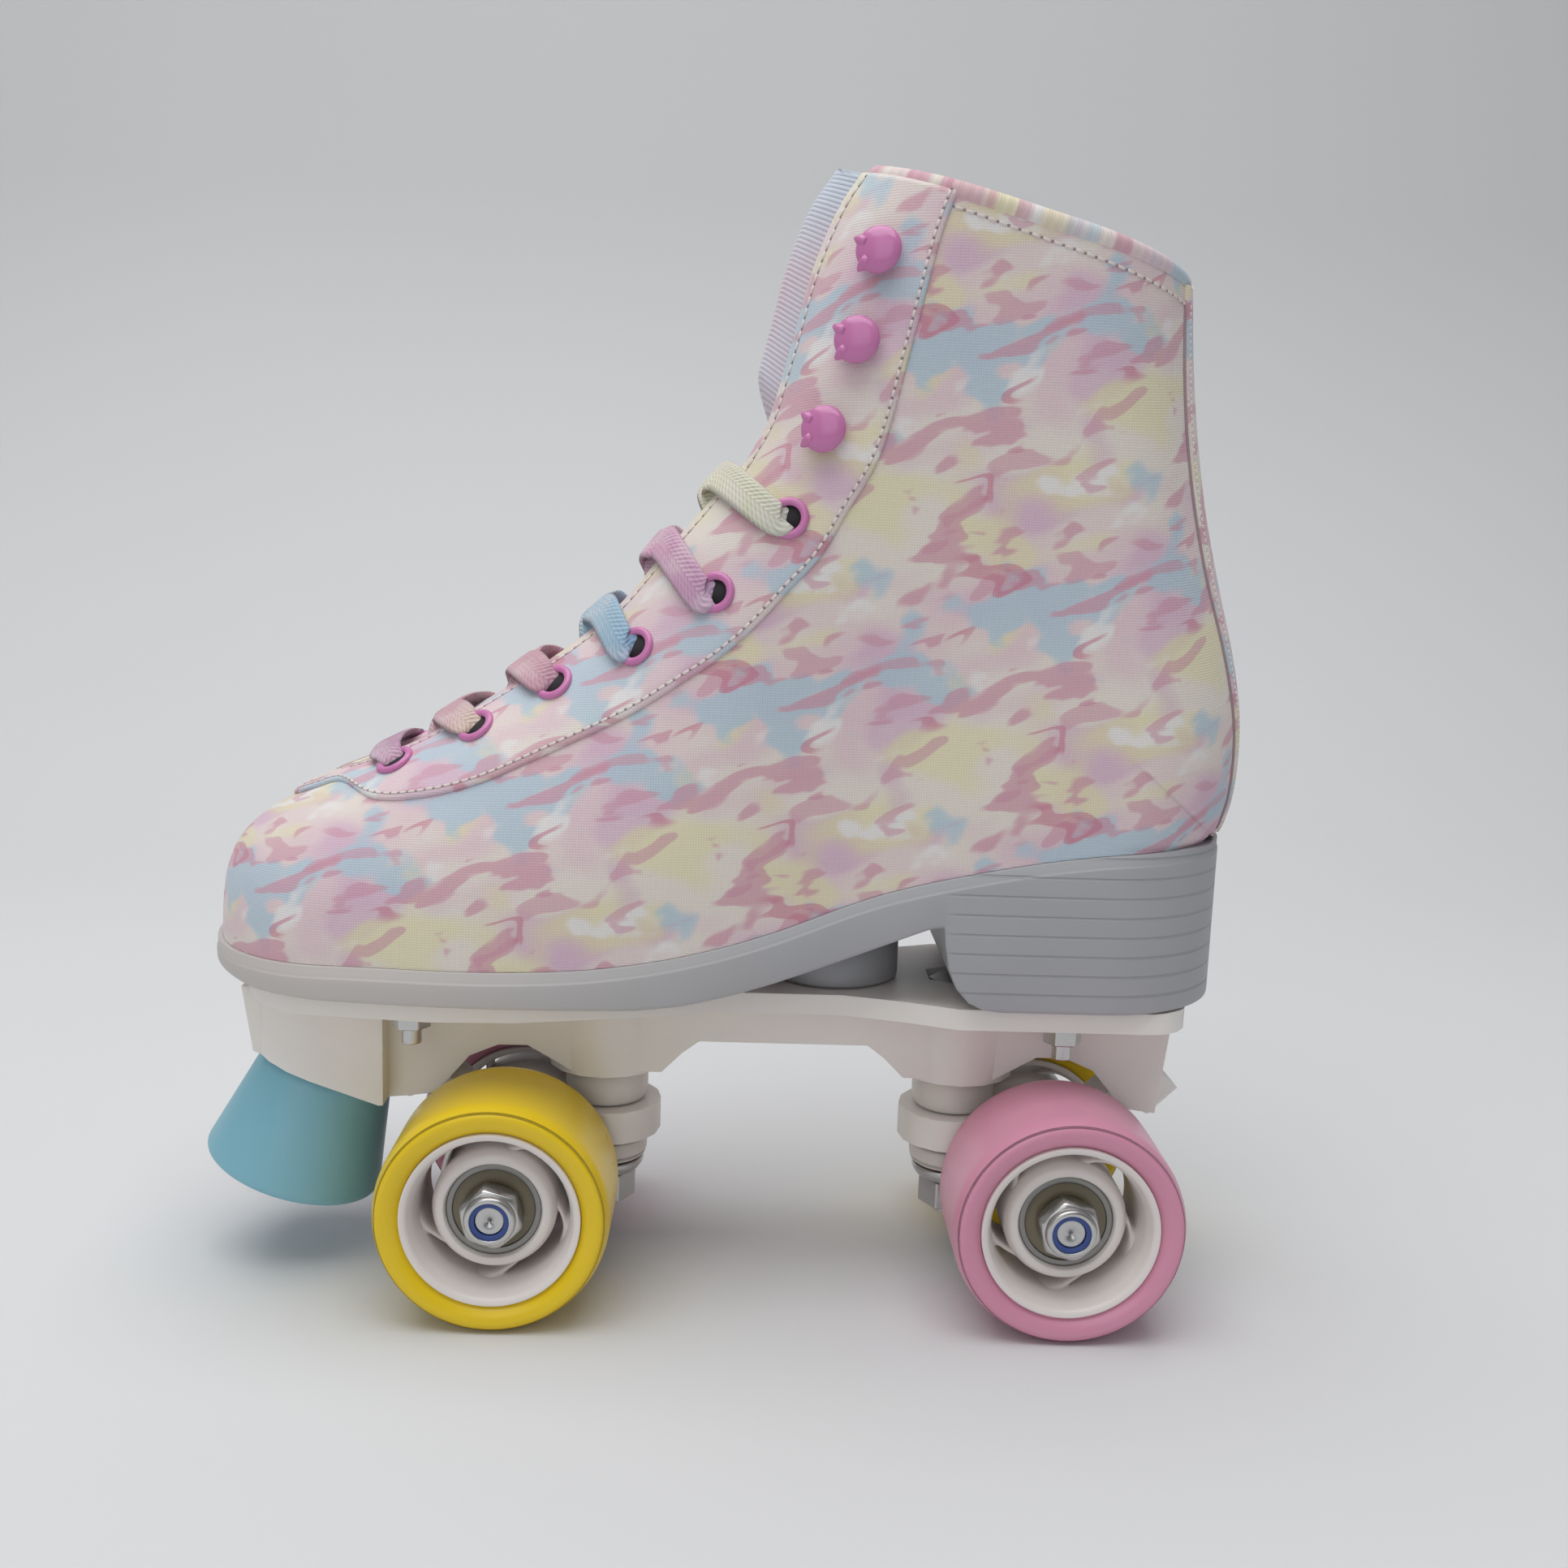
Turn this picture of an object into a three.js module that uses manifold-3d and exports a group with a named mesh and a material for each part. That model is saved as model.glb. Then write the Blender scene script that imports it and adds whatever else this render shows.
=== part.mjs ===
// Quad roller skate, the left one of a pair, as an assembly of its separate pieces.
// Millimetres, +X towards the toe, +Y towards the skate's outer (left) side, +Z up.
// The origin is on the floor, under the middle of the assembly's length and width.
import * as THREE from 'three';
import { mergeVertices } from 'three/addons/utils/BufferGeometryUtils.js';
import Module from 'manifold-3d';

// ---------------------------------------------------------------- driving dimensions
const CLEARANCE = 0.3;             // gap left between pieces that touch

const WHEELBASE = 132;             // front axle to rear axle
const TRACK = 92;                  // across the outer faces of a pair of wheels
const WHEEL_DIAMETER = 54;
const WHEEL_WIDTH = 32;
const WHEEL_HEADROOM = 20.5;       // top of a wheel to the plate's top face
const TYRE_THICKNESS = 6.5;
const TYRE_EDGE_ROUNDING = 3;
const WHEEL_FACETS = 24;           // a whole facet faces the floor

const BEARING_DIAMETER = 22;
const BEARING_BORE = 8;
const BEARING_WIDTH = 7;
const BEARING_RECESS = 8;          // a wheel's face to its bearing's face
const AXLE_NUT_FLATS = 13;
const AXLE_NUT_HEIGHT = 6.2;

const KING_PIN_OFFSET = 22.5;       // axle to king pin, along the skate
const PIVOT_OFFSET = 20;           // axle to pivot ball, the other way
const PIVOT_DROP = 24.5;           // plate's top face down to the pivot ball's centre
const PIVOT_BALL_DIAMETER = 11;
const PIVOT_CUP_WALL = 3;
const PIVOT_CUP_FLOOR = 2;
const KING_PIN_DIAMETER = 8;
const CUSHION_DIAMETER = 21;
const RING_DIAMETER = 27;
const RING_HOLE_DIAMETER = 15.6;
const RING_THICKNESS = 8;
const UPPER_CUSHION_HEIGHT = 9;
const LOWER_CUSHION_HEIGHT = 6.6;
const BARREL_RADIUS = 8;           // hanger's middle part, round the axle
const BARREL_LENGTH = 25.2;
const SLEEVE_RADIUS = 6.4;         // its two thinner ends
const WEB_THICKNESS = 16;
const ARM_FOOT_RADIUS = 5.5;       // hanger's pivot arm
const ARM_END_RADIUS = 3.8;
const CUP_WASHER_DIAMETER = 19;
const CUP_WASHER_HEIGHT = 3.4;
const KING_PIN_NUT_FLATS = 13;
const KING_PIN_NUT_HEIGHT = 7;

const FLANGE_THICKNESS = 5;
const FLANGE_FRONT_WIDTH = 66;
const FLANGE_REAR_WIDTH = 58;
const FLANGE_WAIST_WIDTH = 40;
const PLATE_BODY_WIDTH = 24;
const PLATE_NOSE_WIDTH = 36;
const PLATE_NOSE_LENGTH = 65;      // front axle to the plate's front end
const PLATE_TAIL_LENGTH = 29;      // rear axle to the plate's rear end
const WAIST_DEPTH = 15;            // plate's top face down to the waist's underside
const BOSS_DEPTH = 24;             // plate's top face down to the king-pin bosses
const KING_PIN_BOSS_DIAMETER = 31;
const BOSS_TAPER = 1;              // narrower at the foot, on the radius
const KING_PIN_HEAD_POCKET = 7;
const PIVOT_BOSS_WALL = 3.4;       // plate's wall round a pivot cup

const TOE_STOP_OFFSET = 46.6;      // front axle to the centre of the toe stop's top face
const TOE_STOP_DROP = 25.8;        // plate's top face down to that centre
const TOE_STOP_TILT = 19;          // degrees from upright, foot of the stop forwards
const TOE_STOP_TOP_DIAMETER = 31.8;
const TOE_STOP_PAD_DIAMETER = 44.2;
const TOE_STOP_HEIGHT = 29;
const TOE_STOP_BOLT_DIAMETER = 8;
const TOE_STOP_BOLT_HEAD_HEIGHT = 6;
const TOE_STOP_RECESS = 12;        // depth of the hollow round the bolt's head

const MOUNT_BOLT_DIAMETER = 4.8;
const MOUNT_BOLT_HEAD_DIAMETER = 10;
const MOUNT_BOLT_HEAD_HEIGHT = 3;
const MOUNT_NUT_FLATS = 8;
const MOUNT_NUT_HEIGHT = 4.6;
const MOUNT_BOLT_SPACING = 42;     // left bolt to right bolt
const FRONT_BOLT_OFFSET = 22;      // front axle to the front pair of bolts
const BOLT_STICKS_OUT = 4;         // bolt end below its nut
const BOLT_HEAD_SINK = 2.4;        // head's top face below the sole's top face

const BOOT_LENGTH = 244.5;
const BOOT_HEIGHT = 187;           // top of the collar above the plate's top face
const BOOT_WIDTH = 78;             // across the ball of the foot
const HEEL_WIDTH = 62;
const WAIST_WIDTH = 60;
const ANKLE_WIDTH = 58;
const BOOT_WALL = 2.6;
const HEEL_OVERHANG = 41;          // rear axle back to the boot's rearmost point
const SOLE_LIP = 1.5;              // the outsole's edge stands out from the upper
const TOE_SWING = 5;               // toe tip towards the inner side of the foot
const ARCH_POST_DIAMETER = 32;
const HEEL_BLOCK_LENGTH = 68;

const STAY_THICKNESS = 1;
const STAY_SEAT = 0.9;            // room left under the stay over the faceted skin
const STAY_DEPTH = 27;             // throat edge to the stay's stitched edge, seen side-on
const THROAT_HALF_GAP_LOW = 9.5;
const THROAT_HALF_GAP_TOP = 14;
const EYELET_PAIRS = 6;
const EYELET_PITCH = 20.6;
const EYELET_START = 20.5;         // throat's base to the first pair, along the throat
const EYELET_DIAMETER = 9;
const EYELET_BORE = 6;
const HOOK_PAIRS = 3;
const HOOK_PITCH = 17;
const HOOK_START = 139.5;
const HOOK_HEAD_DIAMETER = 10.6;
const HOOK_HEIGHT = 6;
const TONGUE_THICKNESS = 4;
const TONGUE_HALF_WIDTH = 21;
const LACE_ROOM = 4.2;             // room for the lace between facing and tongue
const TONGUE_ROOM = 2;             // the same above the laced part
const LACE_WIDTH = 4.2;
const LACE_THICKNESS = 0.9;
const LACE_LIFT = 2.35;            // middle of the lace above the stay, where it crosses the edge
const INSOLE_THICKNESS = 3;
const INSOLE_EDGE_GAP = 2.6;

// ---------------------------------------------------------------- places worked out from them
const wheelRadius = WHEEL_DIAMETER / 2;
const axleZ = wheelRadius;
const plateTop = WHEEL_DIAMETER + WHEEL_HEADROOM;
const flangeBottom = plateTop - FLANGE_THICKNESS;
const axleX = WHEELBASE / 2;
const kingPinX = axleX - KING_PIN_OFFSET;
const pivotX = axleX + PIVOT_OFFSET;
const pivotZ = plateTop - PIVOT_DROP;
const bossBottom = plateTop - BOSS_DEPTH;
const upperCushionTop = bossBottom - CLEARANCE;
const ringTop = upperCushionTop - UPPER_CUSHION_HEIGHT - CLEARANCE;
const ringBottom = ringTop - RING_THICKNESS;
const lowerCushionTop = ringBottom - CLEARANCE;
const cupTop = lowerCushionTop - LOWER_CUSHION_HEIGHT - CLEARANCE;
const pinNutTop = cupTop - CUP_WASHER_HEIGHT - CLEARANCE;
const wheelOuterY = TRACK / 2;
const wheelInnerY = wheelOuterY - WHEEL_WIDTH;
const outerBearingY = wheelOuterY - BEARING_RECESS - BEARING_WIDTH / 2;
const innerBearingY = wheelInnerY + BEARING_RECESS + BEARING_WIDTH / 2;
const mountNutTop = flangeBottom - CLEARANCE;
const mountBoltEnd = mountNutTop - MOUNT_NUT_HEIGHT - BOLT_STICKS_OUT;
const boltPlaces = [];
for (const x of [axleX + FRONT_BOLT_OFFSET, -axleX]) {
  for (const side of [1, -1]) boltPlaces.push([x, side * MOUNT_BOLT_SPACING / 2]);
}

// ---------------------------------------------------------------- small helpers
const wasm = await Module();
wasm.setup();

/** A closed three.js geometry as a manifold solid, its faces turned outwards. */
function solid(geometry) {
  const bare = geometry.clone();
  bare.deleteAttribute('normal');
  bare.deleteAttribute('uv');
  const merged = mergeVertices(bare, 1e-4);
  const vertices = Float32Array.from(merged.attributes.position.array);
  const triangles = [];
  let volume = 0;
  const a = new THREE.Vector3();
  const b = new THREE.Vector3();
  const c = new THREE.Vector3();
  for (let i = 0; i < merged.index.count; i += 3) {
    const [p, q, r] = [0, 1, 2].map((k) => merged.index.getX(i + k));
    if (p === q || q === r || r === p) continue;
    a.fromArray(vertices, 3 * p);
    b.fromArray(vertices, 3 * q);
    c.fromArray(vertices, 3 * r);
    volume += a.dot(b.cross(c));
    triangles.push(p, q, r);
  }
  if (volume < 0) triangles.reverse();
  const triVerts = Uint32Array.from(triangles);
  const mesh = new wasm.Mesh({ numProp: 3, vertProperties: vertices, triVerts });
  return new wasm.Manifold(mesh);
}

/** A manifold solid back as a three.js geometry. */
function toGeometry(manifold) {
  const mesh = manifold.getMesh();
  const geometry = new THREE.BufferGeometry();
  geometry.setAttribute('position', new THREE.BufferAttribute(Float32Array.from(mesh.vertProperties), 3));
  geometry.setIndex(new THREE.BufferAttribute(Uint32Array.from(mesh.triVerts), 1));
  geometry.computeVertexNormals();
  return geometry;
}

/** Smooth ramp from 0 to 1 as x goes from a to b. */
function ramp(x, a, b) {
  const t = Math.min(1, Math.max(0, (x - a) / (b - a)));
  return t * t * (3 - 2 * t);
}

/** Uniform Catmull-Rom curve through the rows of numbers, one row to each whole step of s. */
function through(rows, s) {
  const i = Math.min(rows.length - 2, Math.max(0, Math.floor(s)));
  const t = s - i;
  const before = rows[Math.max(0, i - 1)];
  const after = rows[Math.min(rows.length - 1, i + 2)];
  return rows[i].map((p1, k) => {
    const p2 = rows[i + 1][k];
    const m1 = (p2 - before[k]) / 2;
    const m2 = (after[k] - p1) / 2;
    const cubic = 2 * p1 - 2 * p2 + m1 + m2;
    const square = 3 * p2 - 3 * p1 - 2 * m1 - m2;
    return ((cubic * t + square) * t + m1) * t + p1;
  });
}

/** Height of the smooth curve through [x, y] points at one x. */
function curveAt(points, x) {
  let i = 0;
  while (i < points.length - 2 && x > points[i + 1][0]) i += 1;
  const t = Math.min(1, Math.max(0, (x - points[i][0]) / (points[i + 1][0] - points[i][0])));
  return through(points, i + t)[1];
}

/** Closed solid through a list of rings with the same number of points, capped at both ends. */
function loft(rings) {
  const count = rings[0].length;
  const positions = rings.flat().flatMap((p) => [p.x, p.y, p.z]);
  const index = [];
  for (let r = 0; r < rings.length - 1; r += 1) {
    for (let k = 0; k < count; k += 1) {
      const next = (k + 1) % count;
      const [a, b] = [r * count + k, r * count + next];
      index.push(a, b, b + count, a, b + count, a + count);
    }
  }
  for (const [r, flip] of [[0, true], [rings.length - 1, false]]) {
    const middle = new THREE.Vector3();
    rings[r].forEach((p) => middle.addScaledVector(p, 1 / count));
    const centre = positions.length / 3;
    positions.push(middle.x, middle.y, middle.z);
    for (let k = 0; k < count; k += 1) {
      const [a, b] = [r * count + k, r * count + ((k + 1) % count)];
      index.push(...(flip ? [centre, b, a] : [centre, a, b]));
    }
  }
  const geometry = new THREE.BufferGeometry();
  geometry.setAttribute('position', new THREE.Float32BufferAttribute(positions, 3));
  geometry.setIndex(index);
  return solid(geometry);
}

/** Outline in X and Z, extruded along Y to the given width, about the middle plane. */
function sideSlab(points, width, middleY = 0) {
  const shape = new THREE.Shape(points.map(([x, z]) => new THREE.Vector2(x, z)));
  const geometry = new THREE.ExtrudeGeometry(shape, { depth: width, bevelEnabled: false });
  geometry.rotateX(Math.PI / 2);
  geometry.translate(0, middleY + width / 2, 0);
  return solid(geometry);
}

/** Outline in X and Y, extruded upwards from one height to another. */
function planSlab(points, bottom, top) {
  const shape = new THREE.Shape(points.map(([x, y]) => new THREE.Vector2(x, y)));
  const geometry = new THREE.ExtrudeGeometry(shape, { depth: top - bottom, bevelEnabled: false });
  geometry.translate(0, 0, bottom);
  return solid(geometry);
}

/** Upright cylinder, or a cone, from one height to another. */
function post(x, y, bottom, top, radius, sides = 24, topRadius = radius) {
  const geometry = new THREE.CylinderGeometry(topRadius, radius, top - bottom, sides);
  geometry.rotateX(Math.PI / 2);
  geometry.translate(x, y, (top + bottom) / 2);
  return solid(geometry);
}

/** Cylinder or cone between two points. */
function rod(from, to, radius, sides = 16, endRadius = radius) {
  const along = new THREE.Vector3().subVectors(to, from);
  const geometry = new THREE.CylinderGeometry(endRadius, radius, along.length(), sides);
  geometry.translate(0, along.length() / 2, 0);
  const up = new THREE.Vector3(0, 1, 0);
  geometry.applyQuaternion(new THREE.Quaternion().setFromUnitVectors(up, along.normalize()));
  geometry.translate(from.x, from.y, from.z);
  return solid(geometry);
}

/** Profile of [radius, height] points turned about the vertical axis through (x, y). */
function turned(profile, x, y, sides = 24) {
  const points = profile.map(([r, h]) => new THREE.Vector2(r, h));
  const geometry = new THREE.LatheGeometry(points, sides);
  geometry.rotateX(Math.PI / 2);
  geometry.translate(x, y, 0);
  return solid(geometry);
}

/** The same, turned about an axle along Y; heights are then Y values. */
function turnedOnAxle(profile, x, sides = WHEEL_FACETS) {
  const points = profile.map(([r, y]) => new THREE.Vector2(r, y));
  const geometry = new THREE.LatheGeometry(points, sides, Math.PI / sides);
  geometry.translate(x, 0, axleZ);
  return solid(geometry);
}

/** A solid bar's profile for turning, from one end to the other. */
function barProfile(radius, low, high) {
  return [[0, low], [radius, low], [radius, high], [0, high]];
}

/** A ring's closed profile: inner and outer radius, from one end to the other. */
function ringProfile(inner, outer, low, high) {
  return [[inner, low], [outer, low], [outer, high], [inner, high], [inner, low]];
}

/** Hexagon of the given width across its flats. */
function hexagon(flats, x, y) {
  const corner = flats / Math.sqrt(3);
  return [0, 1, 2, 3, 4, 5].map((k) => {
    const angle = k * Math.PI / 3;
    return [x + corner * Math.cos(angle), y + corner * Math.sin(angle)];
  });
}

/** Points of an arc about (x, y) from one angle to another, in degrees. */
function arc(x, y, radius, from, to, steps) {
  return Array.from({ length: steps + 1 }, (_, k) => {
    const angle = THREE.MathUtils.degToRad(from + (to - from) * k / steps);
    return [x + radius * Math.cos(angle), y + radius * Math.sin(angle)];
  });
}

const skate = new THREE.Group();

/** Adds one named piece with its own material. */
function addPiece(name, manifold, color, roughness, metalness = 0) {
  const material = new THREE.MeshStandardMaterial({ color, roughness, metalness });
  const mesh = new THREE.Mesh(toGeometry(manifold), material);
  mesh.name = name;
  skate.add(mesh);
}

// ---------------------------------------------------------------- the boot's shape
// The last is drawn 244.5 long and 187 high. Each row is a slanting section of the boot:
// its top point on the ridge of the instep, then its bottom point on the feather line or
// the back seam, as x from the heel and height above the plate.
const DRAWN_LENGTH = 244.5;
const DRAWN_HEIGHT = 187;
const SECTIONS = [
  [244.35, 17.5, 244.35, 8], [243.2, 24.5, 243.2, 8], [240.5, 30.5, 240.5, 8],
  [236, 35.5, 236, 8], [229, 40, 229, 8.1], [219, 45.5, 219, 8.3],
  [207, 50.8, 207, 8.6], [195, 57, 195, 8.7], [183, 64.5, 181, 8.7],
  [171, 73, 167, 9], [159, 82, 150, 10], [148.5, 91.5, 131, 12.8],
  [140, 102, 110, 18.3], [131, 112.5, 85, 27.5], [126, 118.5, 60, 33.8],
  [122, 123.5, 37, 37.5], [119.5, 128.5, 17, 38.7], [117.4, 133, 5.5, 39],
  [115.9, 137.5, 1.6, 46], [114.6, 142.5, 0.2, 57], [113.2, 148, 0.6, 69],
  [111.7, 154, 3.4, 83], [110.2, 160.5, 7.8, 98.5], [108.3, 167.5, 12.2, 115.5],
  [105.8, 174.5, 15.4, 132.5], [102.8, 181, 17.6, 149], [98.8, 187, 19, 165.2],
  [93, 196, 20.5, 176],
];
const HEEL_CORNER = 17;            // section whose bottom point is the heel's back corner
const COLLAR = 26;                 // section along the collar's top edge
const BEYOND_COLLAR = 27;
const THROAT_BASE = 5.3;           // where the throat opening starts
const ROUNDING = 34;               // depth of the rounding at the front of the shaft
const TOE_ROUNDING = 34;
const HEEL_ROUNDING = 30;
const HEEL_TUCK = 4;               // feather line in from the boot's rearmost point
const FULLNESS = 2.4;              // superellipse power of the sections

const lengthScale = BOOT_LENGTH / DRAWN_LENGTH;
const heightScale = BOOT_HEIGHT / DRAWN_HEIGHT;
const heelBackX = -axleX - HEEL_OVERHANG;
const toeTipX = heelBackX + BOOT_LENGTH;
const lastX = (x) => heelBackX + x * lengthScale;
const lastZ = (h) => plateTop + h * heightScale;
const facetScale = Math.max(lengthScale, heightScale);   // longer facets need more room under them
const seatUnderStay = STAY_SEAT * facetScale;
const laceLift = LACE_LIFT * facetScale ** 2;
const sections = SECTIONS.map(([tx, th, bx, bh]) => [lastX(tx), lastZ(th), lastX(bx), lastZ(bh)]);

const sideWidths = [
  [heelBackX, HEEL_WIDTH / 2], [lastX(30), HEEL_WIDTH / 2], [lastX(60), HEEL_WIDTH / 2],
  [lastX(95), WAIST_WIDTH / 2], [lastX(125), (WAIST_WIDTH + BOOT_WIDTH) / 4],
  [lastX(155), BOOT_WIDTH / 2 - 1], [lastX(180), BOOT_WIDTH / 2], [lastX(205), BOOT_WIDTH / 2 - 1],
  [toeTipX, BOOT_WIDTH / 2 - 4],
];

/** Superellipse quarter: 0 at the edge of the rounding, 1 once past it. */
function rounded(depth, radius, power) {
  const t = Math.min(1, Math.max(0, 1 - depth / radius));
  return (1 - t ** power) ** (1 / power);
}

/** Sideways shift of the boot's middle line, towards the inner side at the toe. */
function middleY(x) {
  const forward = Math.max(0, (x - lastX(137)) / (toeTipX - lastX(137)));
  return -TOE_SWING * forward * forward;
}

/** Half-width of the foot at the feather line, with its round toe. */
function footHalfWidth(x, inset) {
  return (curveAt(sideWidths, x) - inset) * rounded(toeTipX - inset - x, TOE_ROUNDING - inset, 2.2);
}

const backLine = [];
for (let s = HEEL_CORNER; s <= BEYOND_COLLAR; s += 0.25) {
  const [, , x, z] = through(sections, s);
  backLine.push([z, x]);
}

/** Rearmost x of the boot at a height, straight between close points of the back seam. */
function backX(z) {
  let i = 0;
  while (i < backLine.length - 2 && z > backLine[i + 1][0]) i += 1;
  const [[z0, x0], [z1, x1]] = [backLine[i], backLine[i + 1]];
  const t = Math.min(1, Math.max(0, (z - z0) / (z1 - z0)));
  return x0 + (x1 - x0) * t;
}

/** Height of the feather line, where the upper meets the sole: straight between sections. */
const featherPoints = sections.slice(0, HEEL_CORNER + 1).map(([, , x, z]) => [x, z]).reverse();
function featherZ(x) {
  let i = 0;
  while (i < featherPoints.length - 2 && x > featherPoints[i + 1][0]) i += 1;
  const [[x0, z0], [x1, z1]] = [featherPoints[i], featherPoints[i + 1]];
  const t = Math.min(1, Math.max(0, (x - x0) / (x1 - x0)));
  return z0 + (z1 - z0) * t;
}

/** Top and bottom points of a section, moved in by a wall's thickness. */
function sectionEnds(s, inset) {
  let [tx, tz, bx, bz] = through(sections, s);
  const squeeze = (x) => x - inset * Math.max(0, 1 - (toeTipX - x) / TOE_ROUNDING);
  [tx, bx] = [squeeze(tx), squeeze(bx)];
  const along = new THREE.Vector2(bx - tx, bz - tz).normalize();
  const steep = s <= HEEL_CORNER ? Math.abs(along.y) : Math.abs(along.x);
  const top = new THREE.Vector2(tx, tz).addScaledVector(along, inset);
  const bottom = new THREE.Vector2(bx, bz).addScaledVector(along, -inset / steep);
  return { top, bottom, along };
}

/** Point on the boot's skin at section s, a depth below the ridge, on one side. */
function skinPoint(s, depth, side, inset = 0) {
  const { top, bottom, along } = sectionEnds(s, inset);
  const length = top.distanceTo(bottom);
  const x = top.x + along.x * depth;
  const z = top.y + along.y * depth;
  const foot = footHalfWidth(x, inset);
  const upward = ramp(z, featherZ(x) + 12, plateTop + 105 * heightScale);
  const width = foot + (ANKLE_WIDTH / 2 - inset - foot) * upward;
  const radius = length + (ROUNDING - inset - length) * ramp(s, 9, 14);
  const back = rounded(x - backX(z) - inset, HEEL_ROUNDING - inset, 2);
  const atBack = s >= HEEL_CORNER && depth >= length - 1e-6;
  const y = atBack ? 0 : width * rounded(depth, radius, FULLNESS) * back;
  return new THREE.Vector3(x, middleY(x) + side * y, z);
}

/** Length of a section from ridge to bottom. */
function sectionLength(s, inset = 0) {
  const { top, bottom } = sectionEnds(s, inset);
  return top.distanceTo(bottom);
}

/** Point lifted off the boot's skin along its outward normal. */
function liftedPoint(s, depth, side, lift) {
  const at = skinPoint(s, depth, side);
  const down = skinPoint(s, depth + 0.5, side).sub(at);
  const forward = skinPoint(s - 0.1, depth, side).sub(at);
  const normal = down.cross(forward).normalize();
  if (normal.y * side < 0) normal.negate();
  return { point: at.addScaledVector(normal, lift), normal };
}

const SKIN_STEPS = 7;

/** Whole closed section of the boot, left side up from the bottom, over, and down the right. */
function skinRing(s, inset) {
  const length = sectionLength(s, inset);
  const ring = [];
  for (const side of [1, -1]) {
    for (let k = 0; k <= SKIN_STEPS; k += 1) {
      if (side < 0 && k === 0) continue;
      const share = side > 0 ? 1 - k / SKIN_STEPS : k / SKIN_STEPS;
      ring.push(skinPoint(s, length * (1 - Math.cos(Math.PI * share)) / 2, side, inset));
    }
  }
  return ring;
}

/** Half-width of the throat opening at a section. */
function throatHalfGap(s) {
  const wide = THROAT_HALF_GAP_LOW + (THROAT_HALF_GAP_TOP - THROAT_HALF_GAP_LOW) * ramp(s, 10, 18);
  return wide * Math.sqrt(Math.min(1, Math.max(0, (s - THROAT_BASE) / 1.6)));
}

/** Depth below the ridge at which the skin, or a surface inside it, is y off the middle. */
function depthAtY(s, y, inset = 0) {
  let low = 0;
  let high = Math.min(ROUNDING, sectionLength(s, inset) * 0.9);
  for (let k = 0; k < 30; k += 1) {
    const half = (low + high) / 2;
    const p = skinPoint(s, half, 1, inset);
    if (p.y - middleY(p.x) < y) low = half;
    else high = half;
  }
  return high + inset;
}

/** Section number at a distance along the ridge from the throat's base. */
function sectionAlongThroat(distance) {
  let s = THROAT_BASE;
  let run = 0;
  let before = sectionEnds(s, 0).top;
  while (run < distance && s < COLLAR) {
    s += 0.02;
    const here = sectionEnds(s, 0).top;
    run += here.distanceTo(before);
    before = here;
  }
  return s;
}

// Eyelets first, from the toe up, then the hooks: section number and depth of each.
const lacingRows = [];
for (let i = 0; i < EYELET_PAIRS; i += 1) {
  const depth = 7 + 10.5 * i / (EYELET_PAIRS - 1);
  lacingRows.push({ s: sectionAlongThroat(EYELET_START + i * EYELET_PITCH), depth });
}
for (let i = 0; i < HOOK_PAIRS; i += 1) {
  lacingRows.push({ s: sectionAlongThroat(HOOK_START + i * HOOK_PITCH), depth: 15.5 });
}
const eyeletRows = lacingRows.slice(0, EYELET_PAIRS);
const hookRows = lacingRows.slice(EYELET_PAIRS);

// ---------------------------------------------------------------- boot pieces
const INSIDE_SECTIONS = [0, 1, 3, 5, 7, 9, 10, 11, 12, 13, 14, 15, 16, 17, 18, 20, 22, 24, BEYOND_COLLAR];
const throatSections = [];
for (let s = THROAT_BASE + 0.05; s < 10; s += 0.9) throatSections.push(s);
for (let s = 10; s < 20; s += 1) throatSections.push(s);
for (const s of [20, 22, 24, COLLAR, BEYOND_COLLAR]) throatSections.push(s);

/** The throat's opening as a solid, for cutting. */
function throatCutter() {
  const rings = throatSections.map((s) => {
    const { top, along } = sectionEnds(s, 0);
    const gap = throatHalfGap(s);
    const corner = (depth, side) => {
      const x = top.x + along.x * depth;
      return new THREE.Vector3(x, middleY(x) + side * gap, top.y + along.y * depth);
    };
    return [corner(-10, 1), corner(-10, -1), corner(13, -1), corner(13, 1)];
  });
  return loft(rings);
}

/** Pegs through the boot's skin at every eyelet, for cutting its holes. */
function eyeletPegs(side, radius, sides = 8) {
  return eyeletRows.map(({ s, depth }) => {
    const from = liftedPoint(s, depth, side, -6).point;
    const to = liftedPoint(s, depth, side, 5).point;
    return rod(from, to, radius, sides);
  });
}

function bootUpper() {
  const outside = [];
  for (let s = 0; s <= COLLAR; s += 1) outside.push(skinRing(s, 0));
  const inside = INSIDE_SECTIONS.map((s) => skinRing(s, BOOT_WALL));
  let upper = loft(outside).subtract(loft(inside)).subtract(throatCutter());
  for (const side of [1, -1]) {
    for (const peg of eyeletPegs(side, EYELET_BORE / 2, 6)) upper = upper.subtract(peg);
  }
  return upper;
}

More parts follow.
